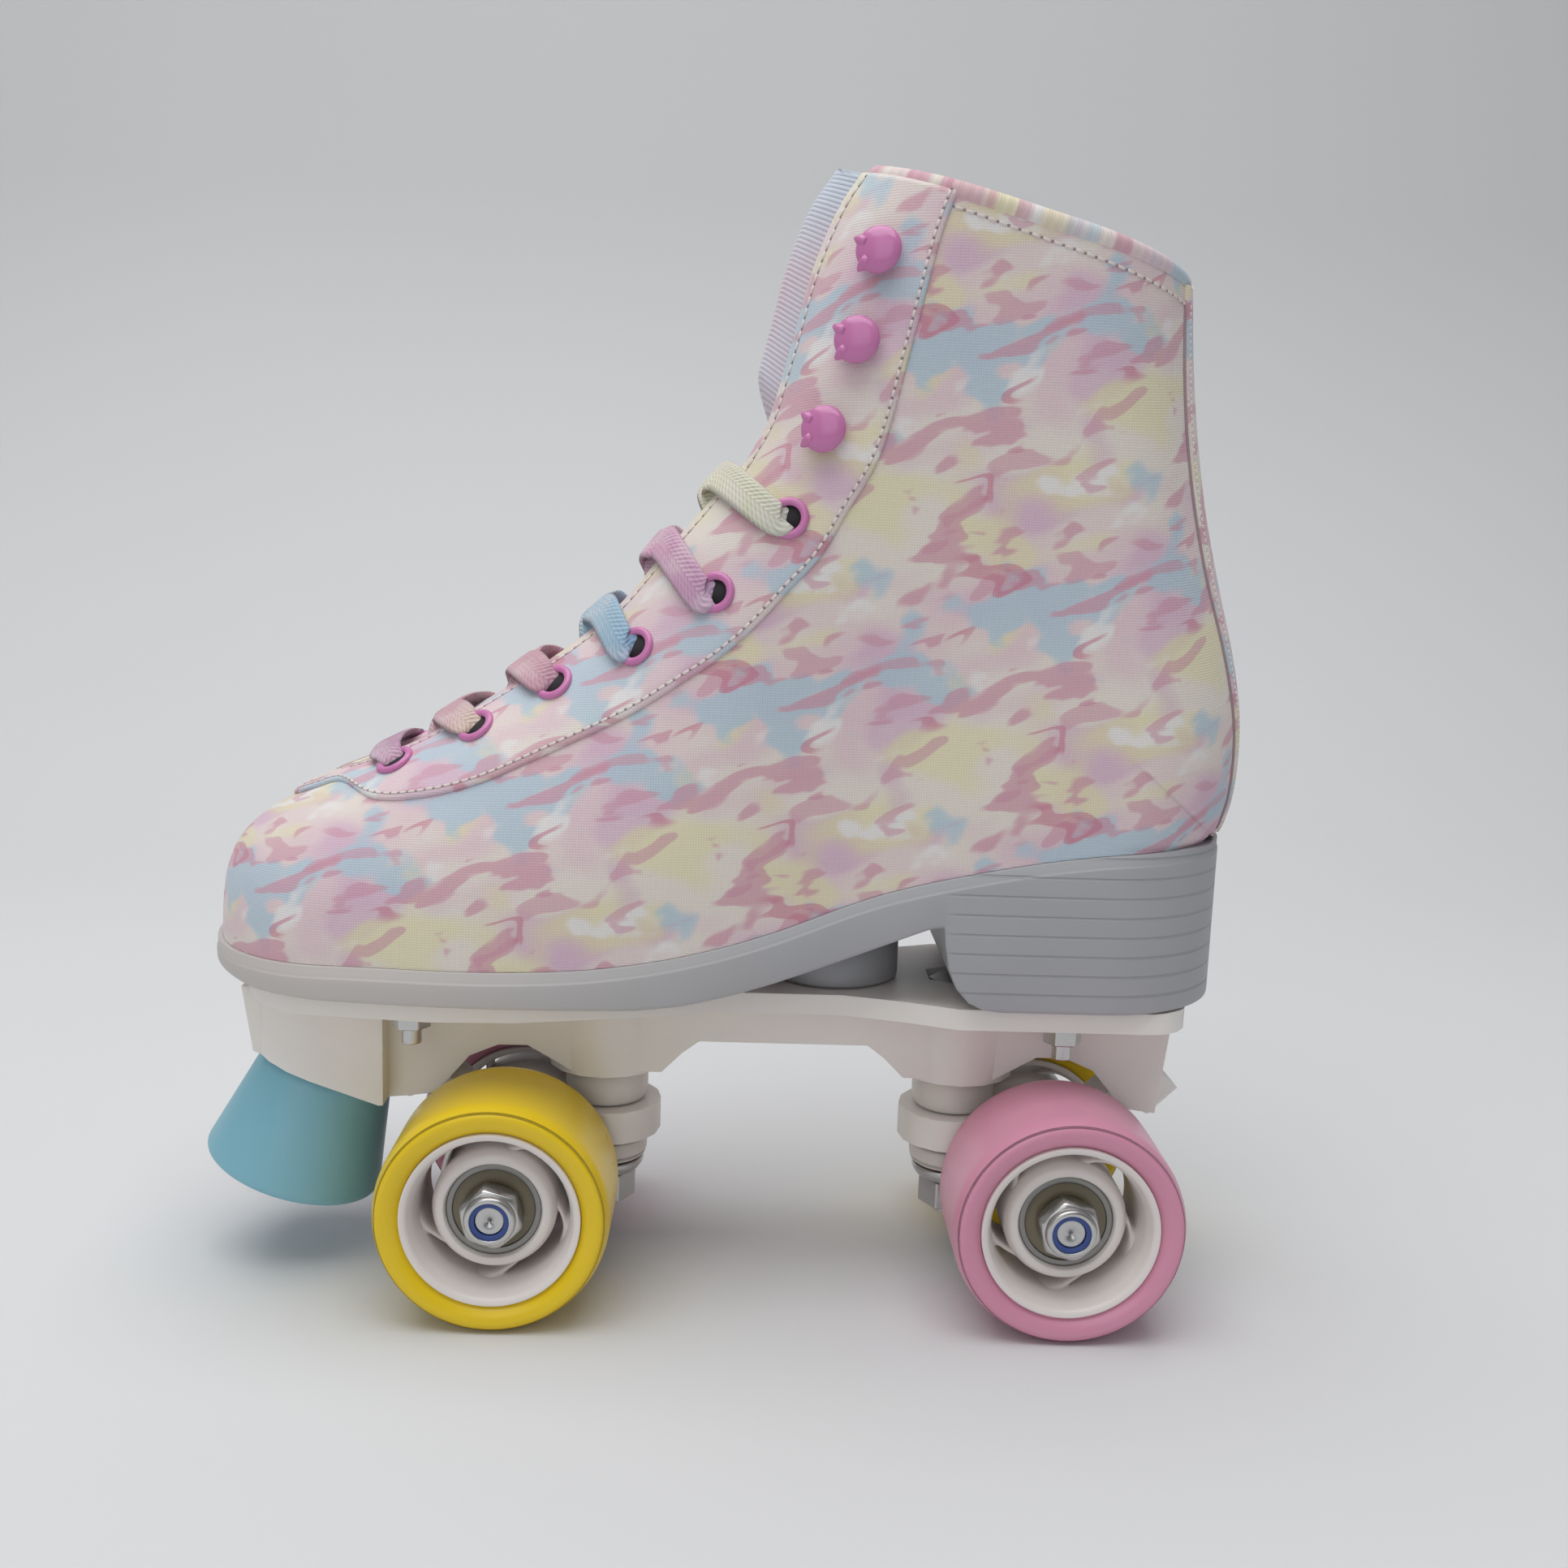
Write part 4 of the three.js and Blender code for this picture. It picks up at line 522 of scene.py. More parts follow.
# %% Wheel pieces
def build_wheel(place, x, side):
    """Tyre, hub and both bearings of one wheel, riding on that wheel's body."""
    middle = side * WHEEL_MIDDLE
    tyre_profile = rounded_profile(
        [(TYRE_INNER, -13.6), (22.5, -15.4), (25.4, -16.0), (WHEEL_RADIUS, -13.2),
         (WHEEL_RADIUS, 13.2), (25.4, 16.0), (22.5, 15.4), (TYRE_INNER, 13.6)],
        [0.3, 1.2, 1.3, 2.6, 2.6, 1.3, 1.2, 0.3], 6)
    tyre = lathe(f"{place}_tyre_cast", tyre_profile, (x, middle, AXLE_Z), turns=144)
    tyre_finish = YELLOW if place in ("front_left", "rear_right") else PINK
    dress(tyre, tyre_finish)
    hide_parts(f"{place}_tyre")
    rim = lathe("rim", rounded_profile(
        [(17.9, -11.2), (19.0, -14.4), (20.55, -14.9), (20.55, 14.9), (19.0, 14.4), (17.9, 11.2),
         (17.4, 6), (17.4, -6)],
        [0.8, 0.7, 0.5, 0.5, 0.7, 0.8, 0.8, 0.8], 4), (x, middle, AXLE_Z))
    barrel = lathe("barrel", rounded_profile(
        [(11.0, -8.2), (11.4, -9.2), (13.2, -9.0), (14.4, -6.8), (14.4, 6.8), (13.2, 9.0),
         (11.4, 9.2), (11.0, 8.2)],
        [0.2, 0.4, 0.8, 1.0, 1.0, 0.8, 0.4, 0.2], 4), (x, middle, AXLE_Z))
    spokes = [spoke(x, middle, math.radians(72 * k + 20)) for k in range(5)]
    hub = join(f"{place}_hub_moulded", [rim, barrel, *spokes])
    dress(hub, HUB_WHITE)
    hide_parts(f"{place}_hub")
    parts = [tyre, hub]
    for word, y, outside in (
            ("outer", side * (WHEEL_OUT - BEARING_BACK - BEARING_HALF), side),
            ("inner", side * (WHEEL_IN + BEARING_BACK + BEARING_HALF), -side)):
        face = BEARING_HALF * outside
        races = [lathe("race", rounded_profile(
            [(r0, -face), (r1, -face), (r1, face), (r0, face)], [0.35] * 4, 3),
            (x, y, AXLE_Z)) for r0, r1 in ((9.4, BEARING_RADIUS), (4.0, 6.1))]
        bearing = join(f"{place}_{word}_bearing_races", races)
        dress(bearing, DARK_STEEL)
        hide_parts(f"{place}_{word}_bearing")
        shield = lathe(f"{place}_{word}_bearing_shield", rounded_profile(
            [(6.0, -face * 0.86), (7.2, -face * 0.9), (8.6, -face * 0.84), (9.6, -face * 0.9),
             (9.6, face * 0.9), (8.6, face * 0.84), (7.2, face * 0.9), (6.0, face * 0.86)],
            [0.3] * 8, 2), (x, y, AXLE_Z))
        dress(shield, BRASS_SHIELD)
        parts += [bearing, shield]
    for part in parts:
        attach(part, f"{place}_wheel")
    truck = place.split("_")[0] + "_truck"
    inside = side * (WHEEL_OUT - BEARING_BACK + 0.3)
    washer = lathe(f"{place}_speed_washer", rounded_profile(
        [(4.1, 0), (6.0, 0), (6.0, side * 0.9), (4.1, side * 0.9)], [0.2] * 4, 2),
        (x, inside - side * 0.2, AXLE_Z))
    nut = hex_nut(f"{place}_lock_nut", (x, inside + side * 0.5, AXLE_Z), (0, side, 0), 13.0, 5.2, 4.3, 0.3)
    collar = lathe("nut_collar", rounded_profile(
        [(4.3, 5.0 * side), (6.2, 5.0 * side), (5.6, 7.0 * side), (4.5, 7.0 * side)],
        [0.2, 0.4, 0.6, 0.2], 4), (x, inside, AXLE_Z))
    nut = join(f"{place}_lock_nut", [nut, collar])
    insert = lathe(f"{place}_nut_insert", rounded_profile(
        [(3.4, 6.0 * side), (4.7, 6.0 * side), (4.7, 6.6 * side), (3.4, 6.6 * side)],
        [0.1] * 4, 2), (x, inside, AXLE_Z))
    dress(washer, STEEL)
    dress(nut, STEEL)
    dress(insert, BLUE_RING)
    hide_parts(f"{place}_axle_nut")
    for part in (washer, nut, insert):
        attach(part, truck)


for place, (x, side) in WHEELS.items():
    build_wheel(place, x, side)
for end, way in (("front", 1), ("rear", -1)):
    tip = WHEEL_OUT - 1.6
    shaft = lathe(f"{end}_axle_rod", rounded_profile(
        [(0.01, -tip), (3.3, -tip), (3.9, -tip + 0.9), (3.9, tip - 0.9), (3.3, tip), (0.01, tip)],
        [0, 0.3, 0.3, 0.3, 0.3, 0], 3), (way * HALF_WHEELBASE, 0, AXLE_Z), turns=64)
    dress(shaft, STEEL)
    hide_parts(f"{end}_axle")
    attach(shaft, f"{end}_truck")
print("wheels made")

# %% [markdown]
# ## The shape of the boot
# The boot is drawn as slanting sections. Each row below gives a section's top point, on
# the ridge of the instep, and its bottom point, on the seam with the sole or up the back.
# A smooth curve through the rows gives every section between them.

# %% Sections of the last
PLATE_TOP, HEEL_BACK, TOE_TIP = 74.5, -107.0, 137.5
SECTIONS = np.array([
    [244.35, 17.5, 244.35, 8], [243.2, 24.5, 243.2, 8], [240.5, 30.5, 240.5, 8],
    [236, 35.5, 236, 8], [229, 40, 229, 8.1], [219, 45.5, 219, 8.3],
    [207, 50.8, 207, 8.6], [195, 57, 195, 8.7], [183, 64.5, 181, 8.7],
    [171, 73, 167, 9], [159, 82, 150, 10], [148.5, 91.5, 131, 12.8],
    [140, 102, 110, 18.3], [131, 112.5, 85, 27.5], [126, 118.5, 60, 33.8],
    [122, 123.5, 37, 37.5], [119.5, 128.5, 17, 38.7], [117.4, 133, 5.5, 39],
    [115.9, 137.5, 1.6, 46], [114.6, 142.5, 0.2, 57], [113.2, 148, 0.6, 69],
    [111.7, 154, 3.4, 83], [110.2, 160.5, 7.8, 98.5], [108.3, 167.5, 12.2, 115.5],
    [105.8, 174.5, 15.4, 132.5], [102.8, 181, 17.6, 149], [98.8, 187, 19, 165.2],
    [93, 196, 20.5, 176]]) + [HEEL_BACK, PLATE_TOP, HEEL_BACK, PLATE_TOP]
HEEL_CORNER, COLLAR, THROAT_BASE = 17, 26, 5.3
SIDE_WIDTHS = np.array([[0, 31], [30, 31], [60, 31], [95, 30], [125, 34.5], [155, 38],
                        [180, 39], [205, 38], [244.5, 35]]) + [HEEL_BACK, 0]
ANKLE_HALF, ROUNDING, TOE_ROUNDING, HEEL_ROUNDING, FULLNESS, WALL = 29.0, 34.0, 34.0, 30.0, 2.4, 2.6


def through(rows, s):
    """Catmull-Rom curve through the rows, one row to each whole step of s, for an array of s."""
    s = np.asarray(s, float)
    i = np.clip(np.floor(s).astype(int), 0, len(rows) - 2)
    t = (s - i)[..., None]
    before, p1 = rows[np.maximum(i - 1, 0)], rows[i]
    p2, after = rows[i + 1], rows[np.minimum(i + 2, len(rows) - 1)]
    m1, m2 = (p2 - before) / 2, (after - p1) / 2
    return (((2 * p1 - 2 * p2 + m1 + m2) * t + 3 * p2 - 3 * p1 - 2 * m1 - m2) * t + m1) * t + p1


fine_s = np.linspace(0, HEEL_CORNER, 1200)
feather_line = through(SECTIONS, fine_s)[::-1, 2:]
back_line = through(SECTIONS, np.linspace(HEEL_CORNER, COLLAR + 1, 400))[:, 2:]
width_line = through(SIDE_WIDTHS, np.linspace(0, len(SIDE_WIDTHS) - 1, 400))


def feather_z(x):
    """Height of the seam between the upper and the sole."""
    return np.interp(x, feather_line[:, 0], feather_line[:, 1])


def rounding_off(depth, radius, power):
    """Superellipse quarter: 0 at an edge, rising to 1 a radius in from it."""
    t = np.clip(1 - depth / radius, 0, 1)
    return (1 - t ** power) ** (1 / power)


def middle_y(x):
    """Sideways swing of the middle line, towards the inner side at the toe."""
    return -5 * np.maximum(0, (x - HEEL_BACK - 137) / 107.5) ** 2


def foot_half(x, inset=0.0):
    """Half-width of the foot at the sole, with its round toe."""
    return (np.interp(x, width_line[:, 0], width_line[:, 1]) - inset) * rounding_off(
        TOE_TIP - inset - x, TOE_ROUNDING - inset, 2.2)


def section_ends(s, inset=0.0):
    """Top point, bottom point and direction of sections, drawn in by an inset."""
    inset = np.broadcast_to(np.asarray(inset, float), np.shape(s))
    ends = through(SECTIONS, s)
    top, bottom = ends[..., :2].copy(), ends[..., 2:].copy()
    for end in (top, bottom):
        end[..., 0] -= inset * np.maximum(0, 1 - (TOE_TIP - end[..., 0]) / TOE_ROUNDING)
    along = unit(bottom - top)
    steep = np.where(np.asarray(s) <= HEEL_CORNER, np.abs(along[..., 1]), np.abs(along[..., 0]))
    return top + along * inset[..., None], bottom - along * (inset / steep)[..., None], along


def skin(s, depth, side, inset=0.0):
    """Points on the boot at section s, a depth below the ridge, on the side +1 or -1.

    The width grows from nothing at the ridge like a superellipse, follows the foot near the
    sole and the ankle higher up, and closes again at the round back of the heel."""
    s, depth, side = np.broadcast_arrays(np.asarray(s, float), depth, side)
    top, bottom, along = section_ends(s, inset)
    length = np.linalg.norm(bottom - top, axis=-1)
    x = top[..., 0] + along[..., 0] * depth
    z = top[..., 1] + along[..., 1] * depth
    foot = foot_half(x, inset)
    low = feather_z(x) + 12
    upward = smoothstep((z - low) / (PLATE_TOP + 105 - low), 0, 1)
    width = foot + (ANKLE_HALF - inset - foot) * upward
    radius = length + (ROUNDING - inset - length) * smoothstep(s, 9, 14)
    back_x = np.interp(z, back_line[:, 1], back_line[:, 0])
    back = rounding_off(x - back_x - inset, HEEL_ROUNDING - inset, 2)
    closed = (s >= HEEL_CORNER) & (depth >= length - 1e-6)
    y = np.where(closed, 0, width * rounding_off(depth, radius, FULLNESS) * back)
    return np.stack([x, middle_y(x) + side * y, z], -1)


def section_length(s, inset=0.0):
    """Length of a section from the ridge to its bottom point."""
    top, bottom, _ = section_ends(s, inset)
    return np.linalg.norm(bottom - top, axis=-1)


print("boot from", HEEL_BACK, "to", TOE_TIP, " collar", through(SECTIONS, COLLAR).round(1))

# %% [markdown]
# ### Measuring along the cloth
# Seams, eyelets and the printed pattern are laid out by tape: a distance `q` run over the
# cloth from the ridge. A table turns that distance back into a depth. The cloth's flat
# coordinates start half-way down a section and run along it by tape too, so the print is
# not stretched where the boot turns round the toe, the heel or the instep.

# %% The tape table
TABLE_S = np.linspace(0, COLLAR + 1, 541)
TABLE_SHARE = (1 - np.cos(np.linspace(0, math.pi, 161))) / 2
table_depth = section_length(TABLE_S)[:, None] * TABLE_SHARE
table_points = skin(TABLE_S[:, None], table_depth, 1.0)
table_run = np.zeros_like(table_depth)
table_run[:, 1:] = np.cumsum(np.linalg.norm(np.diff(table_points, axis=1), axis=-1), axis=1)
TAPE = np.linspace(0, 1, 201)
table_by_run = np.array([np.interp(TAPE * run[-1], run, depth) for run, depth in zip(table_run, table_depth)])
tape_end = table_run[:, -1]
across = np.array([np.interp(length / 2, depth, run)
                   for length, depth, run in zip(section_length(TABLE_S), table_depth, table_run)])
half_way = skin(TABLE_S, section_length(TABLE_S) / 2, 1.0)
steps = np.linalg.norm(np.diff(half_way[:, :2], axis=0), axis=1)
flat_x = half_way[:, 0].copy()
anchor = int(np.argmin(np.abs(TABLE_S - 9)))
flat_x[:anchor] = flat_x[anchor] + np.cumsum(steps[:anchor][::-1])[::-1]
flat_z = half_way[:, 2]


def lookup(table, s):
    """Value at s of a list kept at the table's sections."""
    return np.interp(s, TABLE_S, table)


def depth_at(s, q):
    """Depth below the ridge at a tape distance q, by straight interpolation in the table."""
    s, q = np.broadcast_arrays(np.asarray(s, float), np.abs(q))
    row = np.clip(s / TABLE_S[-1] * (len(TABLE_S) - 1), 0, len(TABLE_S) - 1.001)
    column = np.clip(q / lookup(tape_end, s), 0, 1) * (len(TAPE) - 1)
    i, j = row.astype(int), np.minimum(column.astype(int), len(TAPE) - 2)
    u, v = row - i, column - j
    near = table_by_run[i, j] * (1 - v) + table_by_run[i, j + 1] * v
    far = table_by_run[i + 1, j] * (1 - v) + table_by_run[i + 1, j + 1] * v
    return near * (1 - u) + far * u


def on_skin(s, q, lift=0.0):
    """Points at section s and signed tape distance q (outer side positive), lifted off the cloth."""
    s, q = np.broadcast_arrays(np.asarray(s, float), np.asarray(q, float))
    side = np.where(q < 0, -1.0, 1.0)
    at = skin(s, depth_at(s, q), side)
    if np.ndim(lift) == 0 and lift == 0:
        return at
    return at + np.asarray(lift)[..., None] * skin_normal(s, q)


def skin_normal(s, q):
    """Outward unit normals at the same places, from two short steps over the cloth."""
    step = np.where(q < 0, -0.6, 0.6)
    side = np.where(q < 0, -1.0, 1.0)
    nearer = np.where(np.abs(q) < 0.6, 0 * q, q - step)
    down = skin(s, depth_at(s, q + step), side) - skin(s, depth_at(s, nearer), side)
    ahead = skin(s - 0.05, depth_at(s - 0.05, q), side) - skin(s + 0.05, depth_at(s + 0.05, q), side)
    normal = unit(np.cross(ahead, down) * side[..., None])

    flip = np.where(normal[..., 1] * side < -0.02, -1.0, 1.0)
    return normal * flip[..., None]


INNER_SHIFT = (26.0, -17.0)


def cloth_uv(s, q):
    """Flat coordinates of the cloth, in metres: half-way point plus the run from it.

    The inner side is cut from another part of the roll, so its print drifts away from a
    mirror image of the outer side."""
    s, q = np.broadcast_arrays(np.asarray(s, float), np.asarray(q, float))
    _, _, along = section_ends(s)
    run = np.abs(q) - lookup(across, s)
    inner = np.where(q < 0, smoothstep(np.abs(q), 2, 55), 0)
    u = lookup(flat_x, s) + along[..., 0] * run + INNER_SHIFT[0] * inner
    v = lookup(flat_z, s) + along[..., 1] * run + INNER_SHIFT[1] * inner
    return np.stack([u, v], -1) / 1000


def throat_gap(s):
    """Half-width of the throat opening, round at its base."""
    wide = 9.5 + 4.5 * smoothstep(s, 10, 18)
    return wide * np.sqrt(np.clip((s - THROAT_BASE) / 1.6, 0, 1))


def throat_q(s):
    """Tape distance from the ridge to the throat's edge."""
    s = np.atleast_1d(np.asarray(s, float))
    tape = np.linspace(0, 45, 241)
    points = skin(s[:, None], depth_at(s[:, None], tape[None, :]), 1.0)
    half = points[..., 1] - middle_y(points[..., 0])
    return np.array([np.interp(gap, row, tape) if gap > 0 else 0.0 for gap, row in zip(throat_gap(s), half)])


THROAT_Q = throat_q(TABLE_S)
print("tape from ridge to sole at the ball:", round(float(lookup(tape_end, 8)), 1), "mm")

# %% [markdown]
# ## Printed cloth
# The print repeats on a slanting lattice, about sixty millimetres by fifty-eight. Noise
# sampled on a torus repeats without a seam, so each layer of the print is such noise, cut
# at a level: soft blue, yellow and mauve clouds, then crisp dusty-pink shapes, a few
# rose squiggles and white flecks. A plain weave of threads lies over it all.

# %% Cloth material
REPEAT_A, REPEAT_B = (0.060, -0.023), (-0.019, -0.055)
WEAVE_PITCH = 0.00058
CREAM, BLUSH = colour(243, 234, 224), colour(238, 214, 219)
SKY, LEMON, MAUVE = colour(192, 216, 230), colour(241, 234, 186), colour(222, 180, 212)
DUSTY, ROSE, WHITE = colour(220, 160, 180), colour(214, 128, 152), colour(247, 244, 243)


def printed_cloth(name, tone=1.0, lift=0.0, shift=0.0):
    """A pastel print over a plain weave; lift pales it, shift moves the print along."""
    paint = Paint(name, Roughness=0.85, Sheen_Weight=0.25, Sheen_Roughness=0.5)
    u, v, _ = paint.parts(paint.cloth())
    (ax, az), (bx, bz) = REPEAT_A, REPEAT_B
    area = ax * bz - bx * az
    a = u * (bz / area) - v * (bx / area) + shift
    b = v * (ax / area) - u * (az / area) + shift
    wobble = paint.noise(70.0, 2.0, 0.5)

    def ring(share, radius):
        turn_of = share * (2 * math.pi)
        return turn_of.sin() * radius, (turn_of + math.pi / 2).sin() * radius

    def layer(along_a, along_b, offset, detail=2.0, rough=0.5, swirl=0.0):
        """Noise that repeats with the lattice; the radii set how many shapes fit in it."""
        (x, y), (z, w) = ring(a, along_a / (2 * math.pi)), ring(b, along_b / (2 * math.pi))
        vector = paint.node("ShaderNodeCombineXYZ", None, [x + offset, y, z])
        return paint.node("ShaderNodeTexNoise", {"noise_dimensions": "4D"}, {
            "Vector": vector, "W": w + offset * 0.7, "Scale": 1.0, "Detail": detail,
            "Roughness": rough, "Distortion": swirl})

    ground = paint.mix(layer(2.0, 2.6, 3.1).step(0.42, 0.58), CREAM, BLUSH)
    mauve = layer(3.0, 3.6, 11.3, 1.0).step(0.53, 0.64)
    sky = layer(2.6, 3.4, 23.7, 2.5, 0.55)
    lemon = layer(3.0, 3.6, 37.9, 1.0).step(0.55, 0.64)
    dusty = layer(3.4, 7.4, 41.3, 2.0, 0.5, 0.55)
    small = layer(4.4, 9.0, 57.1, 1.5, 0.45, 0.6)
    curl = layer(2.6, 7.0, 71.9, 1.0, 0.4, 0.35)
    fleck = layer(4.6, 6.0, 83.3, 2.0, 0.55)
    tint = paint.mix(mauve * 0.6, ground, MAUVE)
    tint = paint.mix(lemon * 0.65, tint, LEMON)
    tint = paint.mix(sky.step(0.535, 0.585) * 0.85, tint, SKY)
    tint = paint.mix(fleck.step(0.59, 0.68) * 0.9, tint, WHITE)
    tint = paint.mix(dusty.step(0.55, 0.59) * 0.72, tint, DUSTY)
    tint = paint.mix(small.step(0.585, 0.62) * 0.6, tint, DUSTY)
    squiggle = (1 - (curl - 0.52).size().step(0.016, 0.028)) * layer(3.4, 4.2, 97.7, 0.0).step(0.54, 0.6)
    tint = paint.mix(squiggle * 0.62, tint, ROSE)
    warp = (u * (math.pi / WEAVE_PITCH)).sin().size()
    weft = (v * (math.pi / WEAVE_PITCH)).sin().size()
    threads = warp * weft
    tint = paint.mix(threads * 0.13, tint, (0.35, 0.3, 0.32), "MULTIPLY")
    tint = paint.mix(1.0, tint, (tone, tone, tone), "MULTIPLY")
    tint = paint.mix(lift, tint, WHITE)
    rise = threads * 0.6 + wobble * 0.9
    paint.feed(Base_Color=tint, Roughness=0.78 + 0.12 * wobble, Normal=paint.bump(rise, 0.00022, 0.5))
    return paint.material


def plain_cloth(name, first, second, pitch=0.0006, depth=0.00015):
    """Woven cloth of one soft colour, with slow clouds of tone."""
    paint = Paint(name, Sheen_Weight=0.3)
    u, v, _ = paint.parts(paint.cloth())
    threads = (u * (math.pi / pitch)).sin().size() * (v * (math.pi / pitch)).sin().size()
    cloud = paint.noise(45.0, 3.0)
    tint = paint.mix(cloud, first, second)
    tint = paint.mix(threads * 0.15, tint, (0.3, 0.3, 0.3), "MULTIPLY")
    paint.feed(Base_Color=tint, Roughness=0.8 + 0.1 * cloud, Normal=paint.bump(threads, depth, 0.6))
    return paint.material


CLOTH = printed_cloth("printed_cloth", 0.93)
FACING = printed_cloth("printed_facing", 0.94, 0.05, 0.37)
LINING = plain_cloth("lining", colour(232, 224, 216), colour(240, 234, 228))
THREAD = plain_cloth("stitch_thread", colour(236, 228, 222), colour(226, 214, 210), 0.0009)
# Painted shade for the dents at the needle holes and along the backstay's raised edges.
SEAM_SHADE = plain_cloth("seam_shadow", colour(150, 128, 134), colour(168, 146, 150))

# %% [markdown]
# ## The boot upper
# Both sides are grids from the throat's edge down to the sole or the back seam. They meet
# on the ridge in front of the throat and at the back. A live Solidify modifier gives the
# cloth and lining their thickness, inwards.

# %% Upper
UPPER_ROWS, UPPER_COLUMNS = 250, 64
s_rows = np.concatenate([np.linspace(0, THROAT_BASE, 60)[:-1], THROAT_BASE + 1.6 * np.linspace(0, 1, 30) ** 2,
                         np.linspace(THROAT_BASE + 1.6, COLLAR, UPPER_ROWS - 88)[1:]])
share = (1 - np.cos(np.linspace(0, math.pi, UPPER_COLUMNS))) / 2
edge_q = lookup(THROAT_Q, s_rows)
edge_q = np.where(s_rows < THROAT_BASE, 0, edge_q)
end_q = lookup(tape_end, s_rows)
q_grid = edge_q[:, None] + (end_q - edge_q)[:, None] * share
sides = []
for hand in (1, -1):
    points = on_skin(s_rows[:, None], hand * q_grid)
    uv = cloth_uv(s_rows[:, None], hand * q_grid)
    sides.append((points, uv))
rows, columns = q_grid.shape
left_faces = grid_faces(rows, columns)
right_faces = grid_faces(rows, columns, start=rows * columns)[:, ::-1]
tip = np.arange(columns - 1)
tip_faces = np.stack([tip, tip + 1, tip + 1 + rows * columns, tip + rows * columns], 1)[:, ::-1]
both_sides = np.concatenate([sides[0][0].reshape(-1, 3), sides[1][0].reshape(-1, 3)])
upper = make_mesh("boot_upper_cloth", both_sides,
                  np.concatenate([left_faces, right_faces, tip_faces]),
                  uv=np.concatenate([sides[0][1].reshape(-1, 2), sides[1][1].reshape(-1, 2)]))
outward(upper, 2e-5)
probe = upper.data.polygons[len(upper.data.polygons) // 3]
print("upper faces:", len(upper.data.polygons), " sample normal", [round(v, 2) for v in probe.normal])
if probe.normal.y * probe.center.y < 0:
    upper.data.flip_normals()
thicken = upper.modifiers.new("thickness", "SOLIDIFY")
thicken.thickness, thicken.offset = WALL / 1000, -1
thicken.use_even_offset = False
thicken.material_offset, thicken.material_offset_rim = 1, 0
dress(upper, CLOTH)
upper.data.materials.append(LINING)
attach(upper, "boot_and_plate")
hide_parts("boot_upper")

# %% [markdown]
# ## Facing, seams and stitches
# The lacing runs on a U-shaped facing, stitched down along a long curve at each side. The
# curve is given where it was measured, in side view, and a few Newton steps find the
# section and tape distance that lie over each of its points.

# %% Places on the boot seen from the side
def locate(outline):
    """Section and tape distance of side-view (x, z) points."""
    outline = np.asarray(outline, float)
    gap = np.linalg.norm(table_points[None, :, :, [0, 2]] - outline[:, None, None], axis=-1)
    row, column = np.unravel_index(gap.reshape(len(outline), -1).argmin(1), gap.shape[1:])
    s, depth = TABLE_S[row], table_depth[row, column]
    for _ in range(6):
        here = skin(s, depth, 1)[:, [0, 2]]
        by_s = (skin(s + 0.02, depth, 1)[:, [0, 2]] - here) / 0.02
        by_depth = (skin(s, depth + 0.1, 1)[:, [0, 2]] - here) / 0.1
        miss = outline - here
        det = by_s[:, 0] * by_depth[:, 1] - by_s[:, 1] * by_depth[:, 0]
        s = np.clip(s + (miss[:, 0] * by_depth[:, 1] - miss[:, 1] * by_depth[:, 0]) / det, 0, COLLAR)
        depth = np.maximum(depth + (by_s[:, 0] * miss[:, 1] - by_s[:, 1] * miss[:, 0]) / det, 0)
    run = [np.interp(d, np.array([np.interp(si, TABLE_S, c) for c in table_depth.T]),
                     np.array([np.interp(si, TABLE_S, c) for c in table_run.T])) for si, d in zip(s, depth)]
    return s, np.array(run)


SEAM_SIDE_VIEW = [(106.8, 120.7), (96.9, 119), (84.1, 120.3), (69.5, 124.8), (51.3, 133.5),
                  (33.3, 143.3), (15.4, 156.2), (1.4, 171.1), (-9.7, 187.5), (-16.3, 200),
                  (-20.8, 217.5), (-24.5, 233.8), (-28.8, 252.6)]
EYELETS_SIDE_VIEW = [(92.4, 126.0), (73.2, 135.2), (55.3, 145.9), (36.6, 155.3), (18.8, 168.4), (3.1, 185.3)]
HOOKS_SIDE_VIEW = [(-4.9, 204.5), (-11.2, 223.6), (-15.3, 242.2)]
SEAM_START = 4.15
seam_s, seam_q = locate(SEAM_SIDE_VIEW)
arch = [[SEAM_START + (seam_s[0] - SEAM_START) * share ** 2.5, seam_q[0] * share]
        for share in (0.0, 0.3, 0.6, 0.82)]
seam_knots = np.array([*arch, *zip(seam_s, seam_q)])
seam_knots[-1, 0] = COLLAR
print("facing seam, section and tape:", seam_knots.round(1).tolist())


def even(path, count):
    """A path of (s, q) rows through the knots, its points evenly spaced over the cloth."""
    fine = through(np.asarray(path, float), np.linspace(0, len(path) - 1, 900))
    run = np.r_[0, np.cumsum(np.linalg.norm(np.diff(on_skin(fine[:, 0], fine[:, 1]), axis=0), axis=1))]
    at = np.linspace(0, run[-1], count)
    return np.stack([np.interp(at, run, fine[:, 0]), np.interp(at, run, fine[:, 1])], -1), run[-1]


